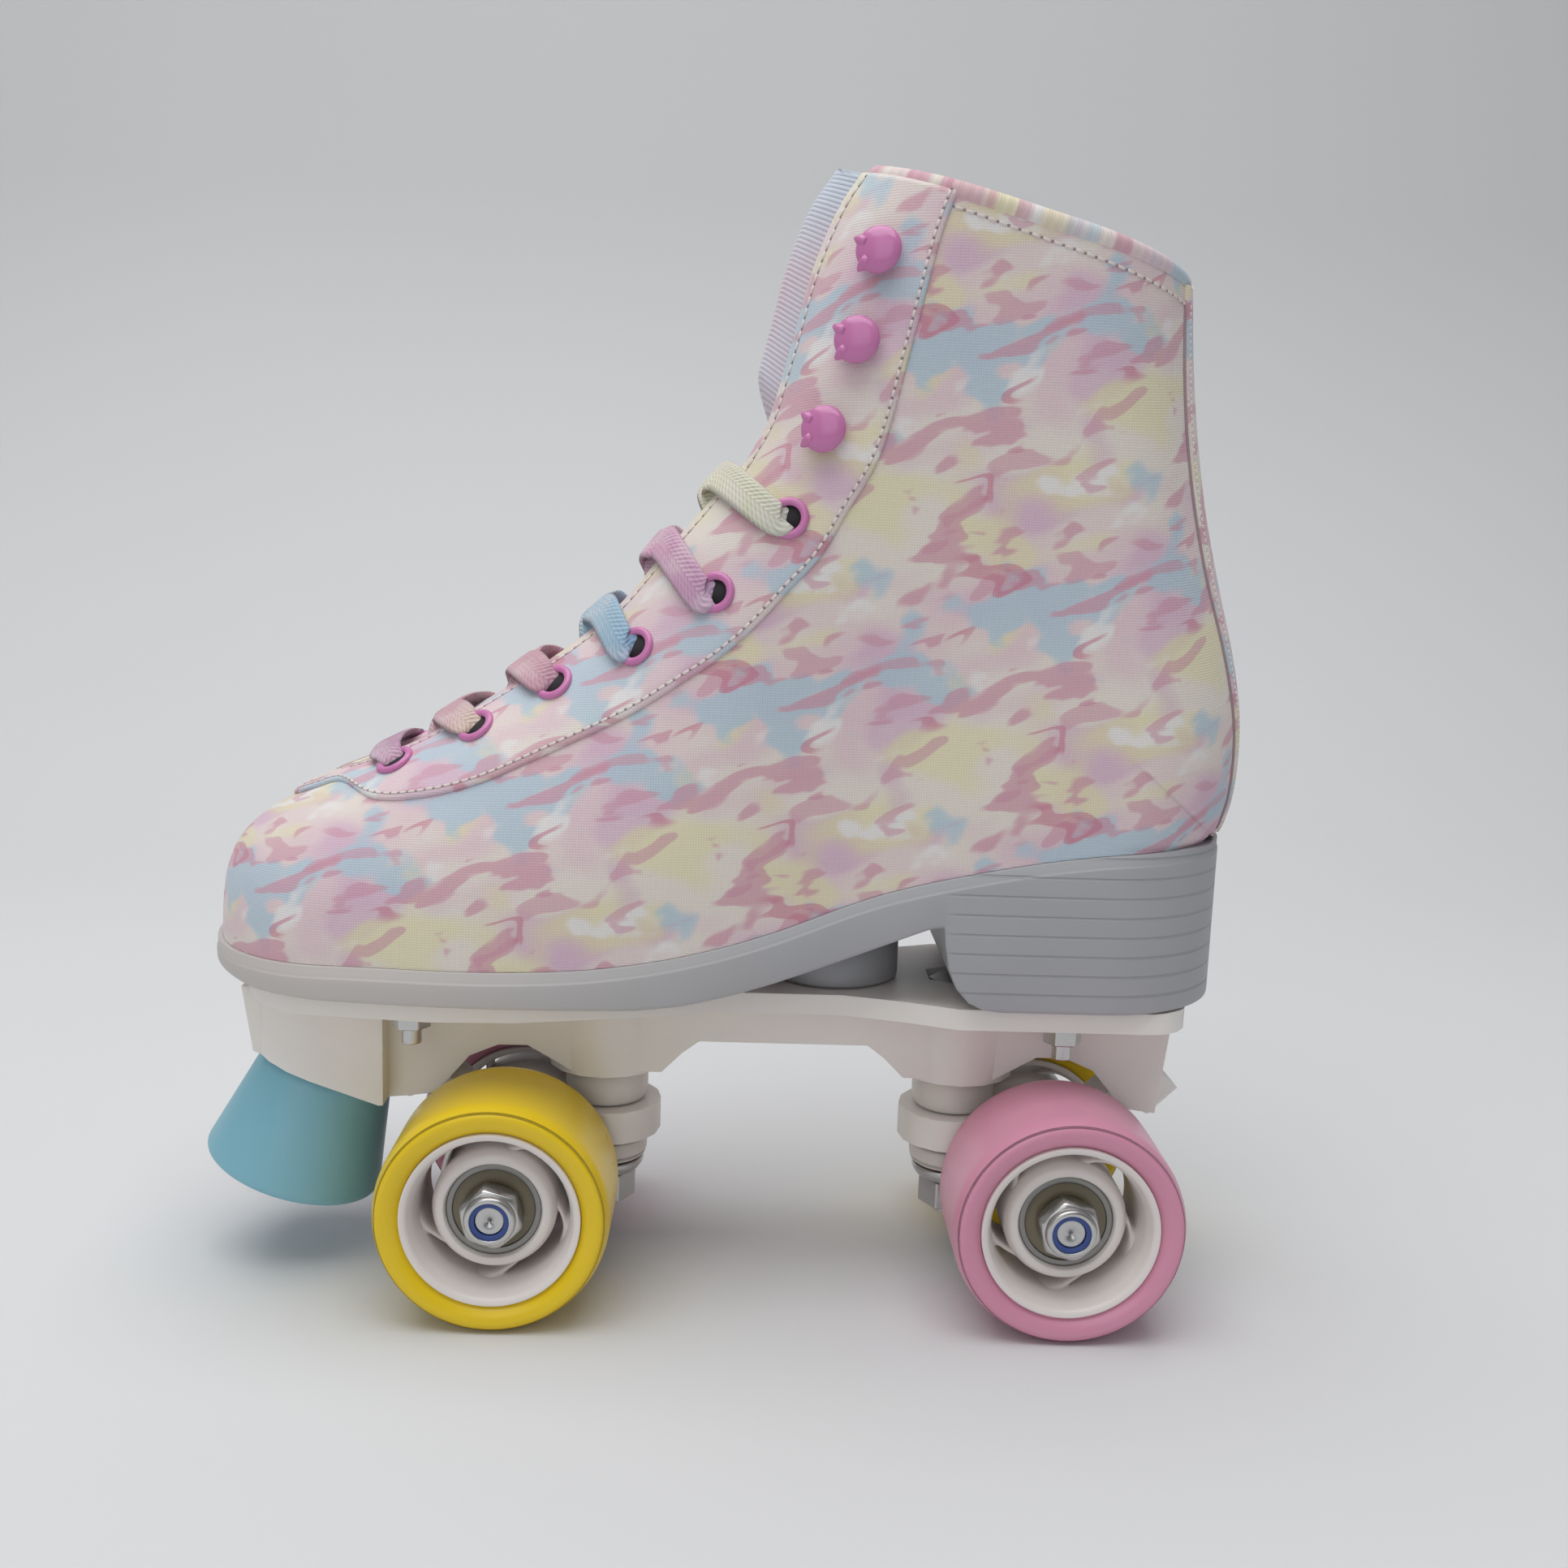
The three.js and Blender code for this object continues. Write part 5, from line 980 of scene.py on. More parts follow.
FACING_ROWS, FACING_LIFT = 240, 1.0
outer_path, _ = even(seam_knots, FACING_ROWS)
inner_s = THROAT_BASE + (COLLAR - THROAT_BASE) * np.linspace(0, 1, FACING_ROWS) ** 1.25
inner_path = np.stack([inner_s, lookup(THROAT_Q, inner_s)], -1)
inner_path[0, 1] = 0
EDGE_MM = np.array([0.0, 0.25, 0.8])
facing_grids = []
for hand in (1, -1):
    seam_to_throat = (on_skin(outer_path[:, 0], outer_path[:, 1])
                      - on_skin(inner_path[:, 0], inner_path[:, 1]))
    reach = np.linalg.norm(seam_to_throat, axis=1)
    shares = [1 - e / reach for e in EDGE_MM] + [np.full(FACING_ROWS, v) for v in np.linspace(0.9, 0.1, 11)]
    shares += [1.6 / reach, 0.7 / reach, 0.1 / reach, 0 * reach, 0 * reach]
    shares = np.stack(shares, 1)
    lifts = np.array([0.05, 0.7, FACING_LIFT] + [FACING_LIFT] * 11
                     + [FACING_LIFT, FACING_LIFT - 0.2, 0.3, -1.2, -2.4])
    s_at = inner_path[:, :1] + (outer_path - inner_path)[:, :1] * shares
    q_at = inner_path[:, 1:] + (outer_path - inner_path)[:, 1:] * shares
    q_at = np.maximum(q_at, 0)
    lift = np.broadcast_to(lifts, s_at.shape)
    facing_grids.append((on_skin(s_at, hand * q_at, lift), cloth_uv(s_at, hand * q_at)))
rows, columns = s_at.shape
count = rows * columns
faces = np.concatenate([grid_faces(rows, columns), grid_faces(rows, columns, start=count)[:, ::-1]])
for grid, _ in facing_grids:
    grid[0, :, 1] = middle_y(grid[0, :, 0])
facing = make_mesh("boot_facing", np.concatenate([g.reshape(-1, 3) for g, _ in facing_grids]), faces,
                   uv=np.concatenate([uv.reshape(-1, 2) for _, uv in facing_grids]))
outward(facing, 2e-5)
middle_face = facing.data.polygons[len(facing.data.polygons) // 4]
if middle_face.normal.y * middle_face.center.y < 0:
    facing.data.flip_normals()
backing = facing.modifiers.new("thickness", "SOLIDIFY")
backing.thickness, backing.offset, backing.use_even_offset = 0.0004, -1, False
dress(facing, FACING)
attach(facing, "boot_and_plate")
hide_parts("eyelet_stay_left", "eyelet_stay_right")


# %% Stitches
def capsules(centres, directions, ups, length, radius, flat=0.7):
    """Small rounded rods, all at once: points and faces of one rod to each centre."""
    along = np.array([-0.5, -0.42, 0.42, 0.5]) * length
    girth = np.array([0.35, 1.0, 1.0, 0.35]) * radius
    angle = 2 * math.pi * np.arange(6) / 6
    side = np.cross(directions, ups)
    ring = (np.cos(angle)[None, :, None] * side[:, None] + flat * np.sin(angle)[None, :, None] * ups[:, None])
    points = (centres[:, None, None] + along[None, :, None, None] * directions[:, None, None]
              + girth[None, :, None, None] * ring[:, None])
    tube = grid_faces(4, 6, around_columns=True)
    one = [*tube.tolist(), list(range(5, -1, -1)), list(range(18, 24))]
    faces = [[i + 24 * k for i in face] for k in range(len(centres)) for face in one]
    return points.reshape(-1, 3), faces


def stitch_row(path, pitch, lift):
    """Centres, directions and normals of stitches along a path of (s, q) rows."""
    _, run = even(path, 2)
    count = max(2, int(run / pitch))
    places, _ = even(path, 2 * count + 1)
    points = on_skin(places[:, 0], places[:, 1], np.full(len(places), lift))
    normals = skin_normal(places[:, 0], places[:, 1])
    direction = unit(points[2::2] - points[:-2:2])
    ups = normals[1::2]
    ups = unit(ups - direction * np.sum(ups * direction, -1, keepdims=True))
    return points[1::2], direction, ups, points[::2], normals[::2]


def mirror_path(path):
    """The same path on the other side of the boot."""
    return np.asarray(path, float) * [1, -1]


def shifted(path, inwards):
    """A path moved over the cloth towards the ridge by some millimetres."""
    moved = np.array(path, float)
    moved[:, 1] = np.maximum(moved[:, 1] - inwards, 0.4)
    return moved


throat_knots = np.array([[s, float(lookup(THROAT_Q, s)) + 3.6] for s in np.linspace(5.6, 25.9, 26)])
collar_reach = np.linspace(31, float(lookup(tape_end, COLLAR)) - 9.5, 12)
collar_knots = np.array([[COLLAR - 0.33, q] for q in collar_reach])
seam_stitches = shifted(seam_knots[1:], 1.5)
is_first = np.arange(len(seam_stitches)) < 2
seam_stitches[:, 0] = np.where(is_first, seam_stitches[:, 0] + 0.1, seam_stitches[:, 0])
thread_points, thread_faces, hole_points, hole_faces, start, hole_start = [], [], [], [], 0, 0
for path, pitch, lift in ((seam_stitches, 2.15, FACING_LIFT + 0.06), (throat_knots, 2.5, FACING_LIFT + 0.06),
                          (collar_knots, 2.5, 0.08)):
    for sided in (path, mirror_path(path)):
        centres, direction, ups, gaps, gap_ups = stitch_row(sided, pitch, lift)
        points, faces = capsules(centres, direction, ups, pitch * 0.74, 0.34)
        thread_points.append(points)
        thread_faces += [[i + start for i in face] for face in faces]
        start += len(points)
        across_gap = np.cross(unit(np.roll(gaps, -1, 0) - gaps), gap_ups)
        along_gap = unit(np.cross(gap_ups, across_gap))
        # Small dark dents between the stitches: painted shade where the thread goes into the cloth.
        points, faces = capsules(gaps - 0.03 * gap_ups, along_gap, gap_ups, 0.62, 0.3, 0.3)
        hole_points.append(points)
        hole_faces += [[i + hole_start for i in face] for face in faces]
        hole_start += len(points)
stitches = outward(make_mesh("boot_stitches", np.concatenate(thread_points), thread_faces))
holes = outward(make_mesh("boot_needle_hole_shade", np.concatenate(hole_points), hole_faces))
dress(stitches, THREAD)
dress(holes, SEAM_SHADE)
for piece in (stitches, holes):
    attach(piece, "boot_and_plate")
print("stitches:", start // 24)

# %% [markdown]
# ## Collar, backstay and insole
# The cloth folds over at the collar. A narrow strip covers the back seam, raised a little,
# with a row of stitches and a dark line of painted shade along each edge.

# %% Collar fold
def tube_along(name, centres, normals, radius, flat=1.0, sides=12, **more):
    """A closed tube round a line of centres; the normals fix how its section is turned."""
    tangent = unit(np.gradient(centres, axis=0))
    up = unit(normals - tangent * np.sum(normals * tangent, -1, keepdims=True))
    side = np.cross(tangent, up)
    angle = 2 * math.pi * np.arange(sides) / sides
    size = np.full(len(centres), radius)
    size[[0, -1]] *= 0.02
    size[[1, -2]] *= 0.75
    grid = centres[:, None] + size[:, None, None] * (
        np.cos(angle)[None, :, None] * side[:, None] + flat * np.sin(angle)[None, :, None] * up[:, None])
    return grid_piece(name, grid, False, True, **more)


def around_back(s, width, count):
    """Points either side of the back seam at sections s, and their outward directions."""
    across_seam = np.linspace(-1, 1, count)[None, :] * np.asarray(width, float)[..., None]
    s, w = np.broadcast_arrays(np.asarray(s, float)[:, None], across_seam)
    q = np.sign(w + 1e-9) * (lookup(tape_end, s) - np.abs(w))
    at = on_skin(s, q)
    centre = np.stack([np.interp(at[..., 2], back_line[:, 1], back_line[:, 0]) + HEEL_ROUNDING,
                       middle_y(at[..., 0]), at[..., 2]], -1)
    return at, unit(at - centre), s, q


q_line = np.linspace(float(lookup(THROAT_Q, COLLAR)) + 0.6, float(lookup(tape_end, COLLAR)) - 0.05, 90)
q_line = np.concatenate([q_line, -q_line[::-1]])
collar_s = np.full(len(q_line), COLLAR + 0.04)
rim = on_skin(collar_s, q_line)
below = on_skin(collar_s - 0.4, q_line)
middle = skin(collar_s, depth_at(collar_s, q_line), np.where(q_line < 0, -1.0, 1.0), WALL / 2)
collar = tube_along("boot_collar_fold", middle, rim - below, 2.0, 1.15, 14,
                    uv=np.repeat(cloth_uv(collar_s, q_line)[:, None], 14, axis=1).reshape(-1, 2))
dress(collar, CLOTH)
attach(collar, "boot_and_plate")

# %% Backstay
STRIP_LIFT, STRIP_COLUMNS = 0.9, 41


def strip_half(s):
    """Half-width of the strip: narrow over the heel, widest at the ankle."""
    return np.interp(s, [16.9, 18, 20, 22, 24, 26], [11.0, 13.0, 16.5, 18.5, 17.5, 14.5])


strip_s = np.linspace(16.9, COLLAR - 0.02, 150)
at, away, s_at, q_at = around_back(strip_s, strip_half(strip_s), STRIP_COLUMNS)
from_edge = strip_half(strip_s)[:, None] * (1 - np.abs(np.linspace(-1, 1, STRIP_COLUMNS)))[None, :]
lift = STRIP_LIFT * smoothstep(from_edge, -0.1, 0.9)
top_side = at + away * lift[..., None]
under = at - away * 0.5
strip_w = np.linspace(-1, 1, STRIP_COLUMNS)[None, :] * strip_half(strip_s)[:, None]
strip_flat = np.stack([strip_w, at[..., 2]], -1) / 1000
strip_uv = np.concatenate([strip_flat, strip_flat[:, ::-1]], 1)
strip = grid_piece("boot_backstay", np.concatenate([top_side, under[:, ::-1]], 1), False, True,
                   uv=strip_uv.reshape(-1, 2))
dress(strip, FACING)
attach(strip, "boot_and_plate")
back_points, back_faces, start, edge_shade_lines = [], [], 0, []
line_s = np.linspace(17.2, COLLAR - 0.3, 181)
for column in (0, 1):
    # A dark line at each edge of the strip is painted shade under its raised edge.
    edge_line = around_back(line_s, strip_half(line_s) + 0.25, 2)
    edge_shade_lines.append(tube_along("seam", edge_line[0][:, column] + 0.12 * edge_line[1][:, column],
                                 edge_line[1][:, column], 0.42, sides=8))
    stitched = around_back(line_s, strip_half(line_s) - 1.7, 2)
    line_at, line_away = stitched[0][:, column], stitched[1][:, column]
    direction = unit(line_at[2::2] - line_at[:-2:2])
    ups = unit(line_away[1::2] - direction * np.sum(line_away[1::2] * direction, -1, keepdims=True))
    points, faces = capsules(line_at[1::2] + ups * (STRIP_LIFT + 0.05), direction, ups, 1.0, 0.3)
    back_points.append(points)
    back_faces += [[i + start for i in face] for face in faces]
    start += len(points)
back_stitches = outward(make_mesh("backstay_stitches", np.concatenate(back_points), back_faces))
dress(back_stitches, THREAD)
back_edge_shade = dress(join("backstay_edge_shade", edge_shade_lines), SEAM_SHADE)
for piece in (back_stitches, back_edge_shade):
    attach(piece, "boot_and_plate")

# %% Insole
INSOLE_IN, INSOLE_LOW, INSOLE_THICK = 5.2, 3.6, 3.0
insole_turn = np.linspace(0, math.pi, 90)
x_line = ((HEEL_BACK + 4 + INSOLE_IN)
          + (TOE_TIP - HEEL_BACK - 4 - 2 * INSOLE_IN) * (1 - np.cos(insole_turn)) / 2)
from_heel = x_line - HEEL_BACK - 4 - INSOLE_IN + 0.01
half = foot_half(x_line, INSOLE_IN) * rounding_off(from_heel, HEEL_ROUNDING - INSOLE_IN, 2)
ring = np.linspace(0, 2 * math.pi, 40, endpoint=False)
flat_ring = np.sign(np.cos(ring)) * np.abs(np.cos(ring)) ** 0.35
thick_ring = np.sign(np.sin(ring)) * np.abs(np.sin(ring)) ** 0.6
insole_y = middle_y(x_line)[:, None] + half[:, None] * flat_ring
insole_z = (feather_z(x_line) + INSOLE_LOW + INSOLE_THICK / 2)[:, None] + INSOLE_THICK / 2 * thick_ring
insole_grid = np.stack([np.broadcast_to(x_line[:, None], insole_y.shape), insole_y, insole_z], -1)
insole_uv = insole_grid[..., :2].reshape(-1, 2) / 1000
insole_piece = grid_piece("boot_insole", insole_grid, False, True, uv=insole_uv)
dress(insole_piece, LINING)
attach(insole_piece, "boot_and_plate")
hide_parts("insole")

# %% [markdown]
# ## Tongue
# A padded tongue lies under the lace and stands up, thicker, behind the top hooks. Its
# front has fine ribs across; the rim is bound.

# %% Tongue
TONGUE_FROM, TONGUE_TO, TONGUE_HALF, TONGUE_ROUND = 4.6, 26.15, 21.0, 40


def depth_at_y(s, y, inset):
    """Depth below the ridge where a surface an inset inside the skin is y off the middle."""
    low = np.zeros(np.broadcast(s, y).shape)
    high = np.minimum(ROUNDING, section_length(s, inset) * 0.9) + low
    for _ in range(26):
        half = (low + high) / 2
        p = skin(s, half, 1, inset)
        inside = p[..., 1] - middle_y(p[..., 0]) < y
        low, high = np.where(inside, half, low), np.where(inside, high, half)
    return high + inset


tongue_s = np.linspace(TONGUE_FROM, TONGUE_TO, 150)[:, None]
angle = np.linspace(0, 2 * math.pi, TONGUE_ROUND * 2, endpoint=False)[None, :]
spread = np.cos(angle)
reach = TONGUE_HALF * np.minimum(1, 0.55 + 0.12 * (tongue_s - TONGUE_FROM))
end_round = np.sqrt(np.clip((TONGUE_TO - tongue_s) / 0.45, 0.0, 1))
y_off = spread * reach * (0.72 + 0.28 * end_round)
laced = 1 - smoothstep(tongue_s, 17, 19)
under_skin = WALL + 2 + 2.2 * laced
edge = throat_gap(tongue_s) - 1.2
proud = 4 * smoothstep(tongue_s, 15.5, 19)
raised = (under_skin + proud) * smoothstep(-np.abs(y_off), -edge, 7 - edge) * smoothstep(tongue_s, 15.5, 19)
front_depth = depth_at_y(tongue_s, np.abs(y_off), under_skin) - raised
start_round = np.sqrt(np.clip((tongue_s - TONGUE_FROM) / 0.5, 0.0, 1))
thick = (4 + 7 * smoothstep(tongue_s, 20.5, 24.5)) * end_round * start_round
puff = np.sqrt(np.clip(1 - spread ** 2, 0, 1)) ** 0.6
belly = np.sin(angle)
depth = front_depth + thick * 0.5 * (1 - belly / np.maximum(np.abs(np.sin(angle)), 1e-6) * puff)
top, _, along = section_ends(tongue_s)
tongue_x = top[..., 0] + along[..., 0] * depth
tongue_grid = np.stack([tongue_x, middle_y(tongue_x) + y_off, top[..., 1] + along[..., 1] * depth], -1)
run = np.r_[0, np.cumsum(np.linalg.norm(np.diff(section_ends(tongue_s[:, 0])[0], axis=0), axis=1))]
tongue_uv = np.stack(np.broadcast_arrays(run[:, None] / 1000, y_off / 1000), -1)
tongue_piece = grid_piece("boot_tongue", tongue_grid, False, True, uv=tongue_uv.reshape(-1, 2))
ribbed = Paint("tongue_cloth", Sheen_Weight=0.3)
u, v, _ = ribbed.parts(ribbed.cloth())
ribs = (u * (math.pi / 0.0011)).sin().size()
height = ribbed.parts(ribbed.place())[2]
wash = ribbed.mix(ribbed.noise(26.0, 2.0).step(0.4, 0.62), colour(226, 198, 208), colour(220, 214, 226))
wash = ribbed.mix(height.step(0.238, 0.262), wash, colour(206, 216, 228))
wash = ribbed.mix(ribs * 0.12, wash, (0.4, 0.36, 0.4), "MULTIPLY")
ribbed.feed(Base_Color=wash, Roughness=0.85, Normal=ribbed.bump(ribs, 0.0003, 0.6))
dress(tongue_piece, ribbed.material)
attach(tongue_piece, "boot_and_plate")
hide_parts("tongue")

# %% [markdown]
# ## Eyelets, hooks and lace
# Six pairs of pressed rings, three pairs of speed hooks, and a flat tie-dyed lace. The
# lace comes up out of each eyelet, climbs over the throat's edge towards the toe, crosses
# the tongue and goes in under the other side to the next eyelet down.

# %% Eyelets
eyelet_s, eyelet_q = locate(EYELETS_SIDE_VIEW)
hook_s, hook_q = locate(HOOKS_SIDE_VIEW)
angle = 2 * math.pi * np.arange(14) / 14
RING_RADIUS, RING_TUBE, RING_RISE = 3.75, 0.95, 0.75
ring_profile = np.stack([RING_RADIUS + RING_TUBE * np.cos(angle), RING_RISE * np.sin(angle) + 0.25], -1)[::-1]
rings, wells = [], []
for hand in (1, -1):
    places = on_skin(eyelet_s, hand * eyelet_q, np.full(6, FACING_LIFT))
    normals = skin_normal(eyelet_s, hand * eyelet_q)
    for at, normal in zip(places, normals):
        rings.append(lathe("ring", ring_profile, at, normal, 44))
        # A dark disc sunk in each ring is painted shade inside the eyelet's hole.
        wells.append(lathe("well", [(0, -0.6), (3.3, -0.6), (3.3, 0.06), (0, 0.06)], at, normal, 28))
eyelets = dress(join("boot_eyelets", rings), LILAC)
eyelet_hole_shade = dress(join("boot_eyelet_hole_shade", wells), SHADOW)
for piece in (eyelets, eyelet_hole_shade):
    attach(piece, "boot_and_plate")

# %% Speed hooks
DOME = [(0, 0), (3.5, 0), (3.5, 0.4), (2.4, 0.7), (1.9, 1.2), (1.9, 2.3), (3.8, 2.4), (4.8, 2.6),
        (5.15, 3.0), (5.05, 3.45), (4.6, 4.0), (3.5, 4.5), (1.9, 4.8), (0, 4.9)]
EAR = [(0, -1.0), (1.5, -1.0), (1.45, 0.35), (1.05, 1.5), (0.5, 2.4), (0, 2.75)]
for hand, word in ((1, "left"), (-1, "right")):
    for i in range(3):
        node = f"speed_hook_{word}_{i + 1}"
        one_s, one_q = hook_s[i:i + 1], hand * hook_q[i:i + 1]
        place = on_skin(one_s, one_q, np.full(1, FACING_LIFT))[0]
        low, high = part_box(node)
        drawn = 500 * np.array([low.x + high.x, low.y + high.y, low.z + high.z]) - [DRAWN_TO_ROW, 0, 0]
        normal = skin_normal(one_s, one_q)[0]
        ahead = on_skin(one_s - 0.2, one_q)[0] - on_skin(one_s + 0.2, one_q)[0]
        ridge = on_skin(one_s, one_q - hand * 2.0)[0] - on_skin(one_s, one_q)[0]
        toe_ward = unit(unit(ahead) * 0.55 + unit(ridge) * 0.85)
        toe_ward = unit(toe_ward - normal * np.dot(toe_ward, normal))
        sideways = np.cross(normal, toe_ward)
        parts = [lathe("dome", DOME, place, normal, 48)]
        for lean in (0.62, -0.62):
            way = unit(toe_ward * math.cos(lean) + sideways * math.sin(lean))
            parts.append(lathe("ear", EAR, place + way * 3.7 + normal * 3.25, way - 0.12 * normal, 20))
        hook = dress(join(f"hook_{word}_{i + 1}", parts), LILAC)
        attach(hook, "boot_and_plate")
        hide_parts(node)
        if hand > 0:
            print(node, "is", round(float(np.linalg.norm(drawn - place)), 1), "mm from the drawn hook")

# %% Lace
LACE_HALF, LACE_THICK, LACE_STEPS = 4.2, 1.15, 90
LACE_ACROSS = np.concatenate([np.linspace(-1, 1, 11), np.linspace(1, -1, 11)])
LACE_SIDE = np.concatenate([np.ones(11), -np.ones(11)])
LACE_EDGE = np.sqrt(np.clip(1 - np.abs(LACE_ACROSS) ** 6, 0, 1))
DYES = [((196, 150, 180), (212, 172, 196)), ((214, 170, 176), (224, 206, 160)),
        ((214, 166, 178), (200, 156, 176)), ((166, 198, 216), (132, 166, 204)),
        ((214, 160, 190), (190, 168, 202)), ((226, 224, 196), (200, 214, 200))]


def lace_band(knots, dye_knots):
    """A band through rows of section, tape distance, lift and half-width, laid on the cloth.

    The band's width is measured over the cloth, square to its path, so that it bends with
    the surface; its edges are thinner than its middle."""
    path = through(np.asarray(knots, float), np.linspace(0, len(knots) - 1, LACE_STEPS))
    s, q, lift, half = path.T
    rate = np.linalg.norm(on_skin(s + 0.05, q) - on_skin(s - 0.05, q), axis=1) / 0.1
    way = unit(np.stack([np.gradient(s) * rate, np.gradient(q)], -1))
    offset = LACE_ACROSS[None, :] * half[:, None]
    curl = 0.5 * (1 - half / LACE_HALF)[:, None] * (LACE_ACROSS ** 2)[None, :] * 2.2
    s_at = s[:, None] - way[:, 1:] * offset / rate[:, None]
    q_at = q[:, None] + way[:, :1] * offset
    lifts = lift[:, None] + curl + LACE_SIDE * LACE_EDGE * LACE_THICK / 2
    points = on_skin(s_at, q_at, lifts)
    run = np.r_[0, np.cumsum(np.linalg.norm(np.diff(points[:, 5], axis=0), axis=1))]
    uv = np.stack([np.broadcast_to(run[:, None], offset.shape), offset], -1) / 1000
    share = np.linspace(0, len(dye_knots) - 1, LACE_STEPS)
    dye = through(np.array([colour(*d) for d in dye_knots]), share)
    return points, uv, np.broadcast_to(dye[:, None], (*offset.shape, 3))


def crossing(i, hand, over):
    """Knots of the lace from eyelet i on one side to the eyelet below it on the other."""
    s0, s1, q0, q1 = eyelet_s[i], eyelet_s[i - 1], eyelet_q[i], eyelet_q[i - 1]

    def at(share):
        """Section number at a share of the way from this eyelet to the next."""
        return s0 + (s1 - s0) * share

    def edge(share):
        """How far the throat's edge lies from the ridge there."""
        return float(lookup(THROAT_Q, at(share)))

    bridge = 2.5 if over else 1.0
    return [[at(0), hand * (q0 + 1.0), -2.5, 2.3], [at(0.03), hand * (q0 - 0.4), 0.6, 2.6],
            [at(0.13), hand * (q0 - 2.6), 2.5, 3.7], [at(0.27), hand * (edge(0.27) + 2.2), 3.0, LACE_HALF],
            [at(0.38), hand * (edge(0.38) - 2.5), 3.1, LACE_HALF], [at(0.5), 0, bridge, LACE_HALF],
            [at(0.62), -hand * (edge(0.62) - 3.0), -1.4, LACE_HALF],
            [at(0.74), -hand * (edge(0.74) + 1.5), -4.3, 3.6],
            [at(0.9), -hand * (q1 - 3.0), -4.5, 3.2], [at(0.98), -hand * q1, -3.6, 2.6]]


grids, uvs, dyes = [], [], []
s0, q0 = eyelet_s[0], eyelet_q[0]
edge0 = float(lookup(THROAT_Q, s0))
half_bar = [[s0, q0 + 1.0, -2.5, 2.3], [s0 - 0.03, q0 - 0.4, 0.6, 2.6], [s0 - 0.12, q0 - 2.8, 2.3, 3.3],
            [s0 - 0.24, edge0 + 1.5, 2.5, LACE_HALF]]
other_half = [[s, -q, lift, half] for s, q, lift, half in half_bar[::-1]]
bar = half_bar + [[s0 - 0.28, 0, 2.6, LACE_HALF]] + other_half
bands = [(bar, [DYES[0][1], DYES[0][0], DYES[0][0], DYES[0][1]])]
for i in range(1, 6):
    near, far = DYES[i]
    for hand, over in ((1, i % 2 == 0), (-1, i % 2 == 1)):
        bands.append((crossing(i, hand, over), [far, near, near, far]))
for knots, dye_knots in bands:
    points, uv, dye = lace_band(knots, dye_knots)
    grids.append(points)
    uvs.append(uv)
    dyes.append(dye)
lace_faces, start = [], 0
for points in grids:
    rows, columns = points.shape[:2]
    lace_faces += grid_faces(rows, columns, around_columns=True, start=start).tolist()
    lace_faces += [list(range(start + columns - 1, start - 1, -1)),
                   list(range(start + (rows - 1) * columns, start + rows * columns))]
    start += rows * columns
lace_piece = make_mesh("boot_lace", np.concatenate([g.reshape(-1, 3) for g in grids]), lace_faces,
                       uv=np.concatenate([u.reshape(-1, 2) for u in uvs]),
                       values={"dye": np.concatenate([d.reshape(-1, 3) for d in dyes])})
outward(lace_piece)
cotton = Paint("tie_dyed_lace", Sheen_Weight=0.4)
u, v, _ = cotton.parts(cotton.cloth())
rib_a = ((u + v.size() * 1.2) * (2 * math.pi / 0.0015)).sin()
rib_b = (v * (2 * math.pi / 0.0011)).sin()
weave = (rib_a * 0.5 + 0.5) * 0.7 + (rib_b * 0.5 + 0.5) * 0.3
dyed = cotton.node("ShaderNodeAttribute", {"attribute_name": "dye"}, output=0)
cloudy = cotton.mix(cotton.noise(120.0, 3.0).step(0.42, 0.62) * 0.35, dyed, colour(238, 226, 226))
# The ribs are real; the grooves between them are also painted darker, as painted shade.
cotton.feed(Base_Color=cotton.mix((1 - weave) * 0.3, cloudy, (0.3, 0.26, 0.34), "MULTIPLY"),
            Roughness=0.8 + 0.1 * weave, Normal=cotton.bump(weave, 0.0003, 0.7))
dress(lace_piece, cotton.material)
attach(lace_piece, "boot_and_plate")
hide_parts("lace")
print("lace bands:", len(bands))

# %% [markdown]
# ## Sole, toe stop and cushions
# The sole is one closed moulding with a lip under its top edge, an arch, and a heel whose
# sides carry fine lines. The toe stop is a cone with rounded edges round its bolt. The
# cushions and their washers are turned about the king pins.

# %% Sole
LIP_OUT, LIP_DROP, LIP_STEP = 1.5, 2.4, 0.9
UNDERSIDE = np.array([(-112, 74.8), (-49, 74.8), (-45, 75.2), (-41.5, 76.8), (-38.6, 80),
                      (-36.6, 84.5), (-35.6, 90),
                      (-35.2, 94.4), (-32, 93.9), (-24, 90.6), (-15, 87), (-5, 83.3), (4, 80.4), (13, 78),
                      (24, 75.7), (34, 74.8), (105, 74.8), (122, 75.2), (139, 77.4)])
rear, front = HEEL_BACK + 4 - LIP_OUT, TOE_TIP + LIP_OUT
x_even = rear + (front - rear) * (1 - np.cos(np.linspace(0, math.pi, 170))) / 2
x_line = np.unique(np.concatenate([x_even, np.linspace(-49, -34.6, 70)]))
back = rounding_off(x_line - rear, HEEL_ROUNDING + LIP_OUT, 2)
half = foot_half(x_line, -LIP_OUT) * back
top_z = feather_z(np.clip(x_line, HEEL_BACK + 5, TOE_TIP - 0.4)) - 0.1
low_z = np.interp(x_line, UNDERSIDE[:, 0], UNDERSIDE[:, 1])
wall_drop = np.array([0.0, 0.0, 0.25, LIP_DROP - 0.2, LIP_DROP + 0.2, LIP_DROP + 0.5])
wall_in = np.array([3.0, LIP_STEP + 0.5, LIP_STEP, LIP_STEP, 0.1, 0.0])
foot_rise = np.array([1.3, 0.7, 0.3, 0.1, 0.0, 0.0])
foot_in = np.array([0.0, 0.12, 0.35, 0.75, 1.3, 3.0])
depth = top_z - low_z
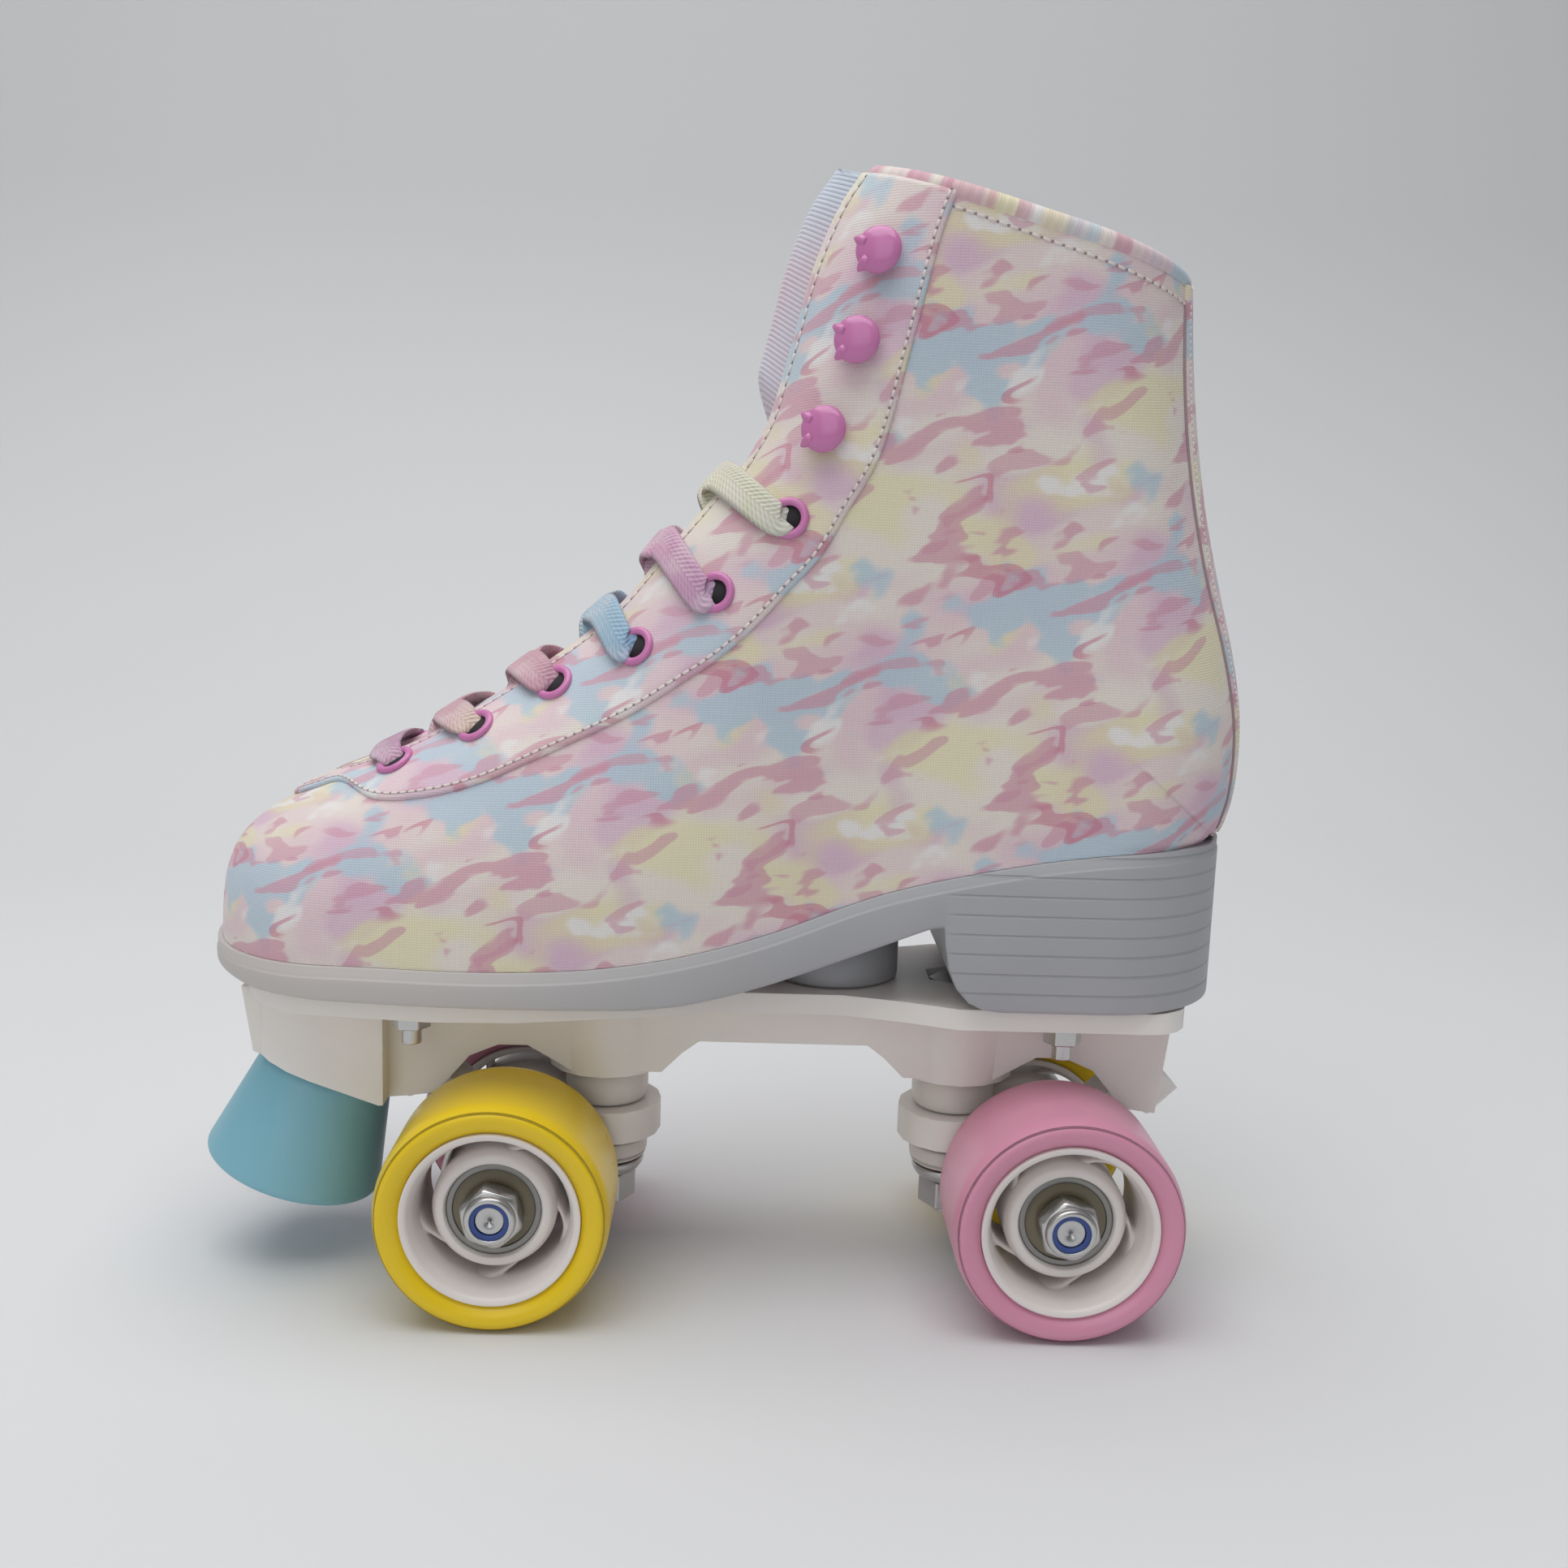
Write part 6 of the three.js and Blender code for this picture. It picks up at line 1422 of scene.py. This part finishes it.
levels = np.concatenate([top_z[:, None] - np.minimum(wall_drop, (depth * 0.6)[:, None]),
                         low_z[:, None] + np.minimum(foot_rise, (depth * 0.3)[:, None])], 1)
insets = np.concatenate([wall_in, foot_in])
width_at = np.maximum(half[:, None] - insets * np.minimum(1, half / 6)[:, None], 0)
cap = np.array([0.66, 0.33, 0.0])
edge_y = np.concatenate([width_at[:, :1] * cap[::-1], width_at, width_at[:, -1:] * cap[:2]], 1)
edge_z = np.concatenate([levels[:, :1] + 0 * cap, levels, levels[:, -1:] + 0 * cap[:2]], 1)
ring_y = np.concatenate([edge_y, -edge_y[:, ::-1]], 1)
ring_z = np.concatenate([edge_z, edge_z[:, ::-1]], 1)
x_at = np.broadcast_to(x_line[:, None], ring_y.shape)
sole_grid = np.stack([x_at, middle_y(x_at) + ring_y, ring_z], -1)
sole_main = grid_piece("sole_body", sole_grid, False, True)
post_x, post_top = HEEL_BACK + 95, 88.0
post_profile = rounded_profile([(0, 74.8), (16, 74.8), (16, post_top), (0, post_top)], [0, 1, 0, 0])
arch_post = lathe("arch_post", post_profile,
                  (post_x, 0, 0), (0, 0, 1), 72)
sole = join("outsole_moulding", [sole_main, arch_post])
milky = Paint("milky_sole_rubber", Subsurface_Weight=0.12,
              Subsurface_Radius=(0.003, 0.003, 0.003), Subsurface_Scale=1.0)
x, y, z = milky.parts(milky.place())
heel_end = x.step((-0.034 + DRAWN_TO_ROW / 1000), (-0.040 + DRAWN_TO_ROW / 1000))
lines = ((z * (2 * math.pi / 0.0046)).sin().step(0.86, 1.0)) * heel_end
cloud = milky.noise(50.0, 3.0)
warm = x.step(-0.03, 0.09)
cool_grey = milky.mix(cloud, colour(166, 167, 171), colour(176, 176, 179))
grey = milky.mix(warm, cool_grey, colour(196, 190, 186))
# The heel's fine lines are real grooves in the bump; their darker grey is painted shade in them.
grey = milky.mix(lines * 0.25, grey, colour(120, 121, 126))
milky.feed(Base_Color=grey, Roughness=0.42 + 0.1 * cloud, Normal=milky.bump(1 - lines, 0.0004, 0.6))
dress(sole, milky.material)
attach(sole, "boot_and_plate")
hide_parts("outsole")

# %% Toe stop
STOP_TOP = (112.6, 0, 48.7)
STOP_AXIS = (math.sin(math.radians(19)), 0, -math.cos(math.radians(19)))
stop_profile = rounded_profile([(4.3, 0.3), (15.9, 0.3), (22.1, 29.0), (8.5, 29.0), (8.5, 17.0), (4.3, 17.0)],
                               [0, 2.2, 2.0, 0.8, 0, 0], 6)
stop = lathe("toe_stop_cone", stop_profile, STOP_TOP, STOP_AXIS, 120)
dress(stop, STOP_BLUE)
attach(stop, "boot_and_plate")
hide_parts("toe_stop")

# %% Cushions and washers
KING_PIN_AT, PIN_BORE, CUSHION_BORE = 43.5, 4.3, 5.2
BOSS_END, RING_TOP, RING_LOW, CUP_END = 50.2, 41.2, 32.6, 26.0
UPPER = [(CUSHION_BORE, 38.6), (7.5, 38.6), (7.5, RING_TOP), (9.7, RING_TOP), (10.5, 45.7),
         (9.7, BOSS_END), (CUSHION_BORE, BOSS_END)]
LOWER = [(CUSHION_BORE, CUP_END), (9.7, CUP_END), (10.5, 29.3), (9.7, RING_LOW), (7.5, RING_LOW),
         (7.5, 35.2), (CUSHION_BORE, 35.2)]
WASHER = [(PIN_BORE, 22.3), (8.0, 22.3), (9.5, 24.5), (9.5, 25.7), (PIN_BORE, 25.7)]
for word, end in (("front", 1), ("rear", -1)):
    for kind, outline, radii, finish, slot_name in (
            ("upper_cushion", UPPER, [0, 0, 0, 1.4, 2.5, 1.4, 0], URETHANE, "cushion_urethane"),
            ("lower_cushion", LOWER, [0, 1.4, 2.0, 1.4, 0, 0, 0], URETHANE, "cushion_urethane"),
            ("cup_washer", WASHER, [0, 0.8, 0.8, 0.4, 0], STEEL, "steel")):
        profile = rounded_profile(outline, radii, 5)
        turned = lathe(f"{word}_{kind}_turned", profile, (end * KING_PIN_AT, 0, 0), (0, 0, 1), 72)
        dress(turned, finish)
        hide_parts(f"{word}_{kind}")
        if kind.endswith("cushion"):
            heights = (BOSS_END, RING_TOP) if kind == "upper_cushion" else (CUP_END, RING_LOW)
            start, stop_at = [tuple(to_row((end * KING_PIN_AT, 0, z))[0].tolist()) for z in heights]
            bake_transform(turned)
        else:
            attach(turned, "boot_and_plate")

# %% Finish
bpy.context.scene.view_settings.view_transform = "Standard"
bpy.context.view_layer.update()
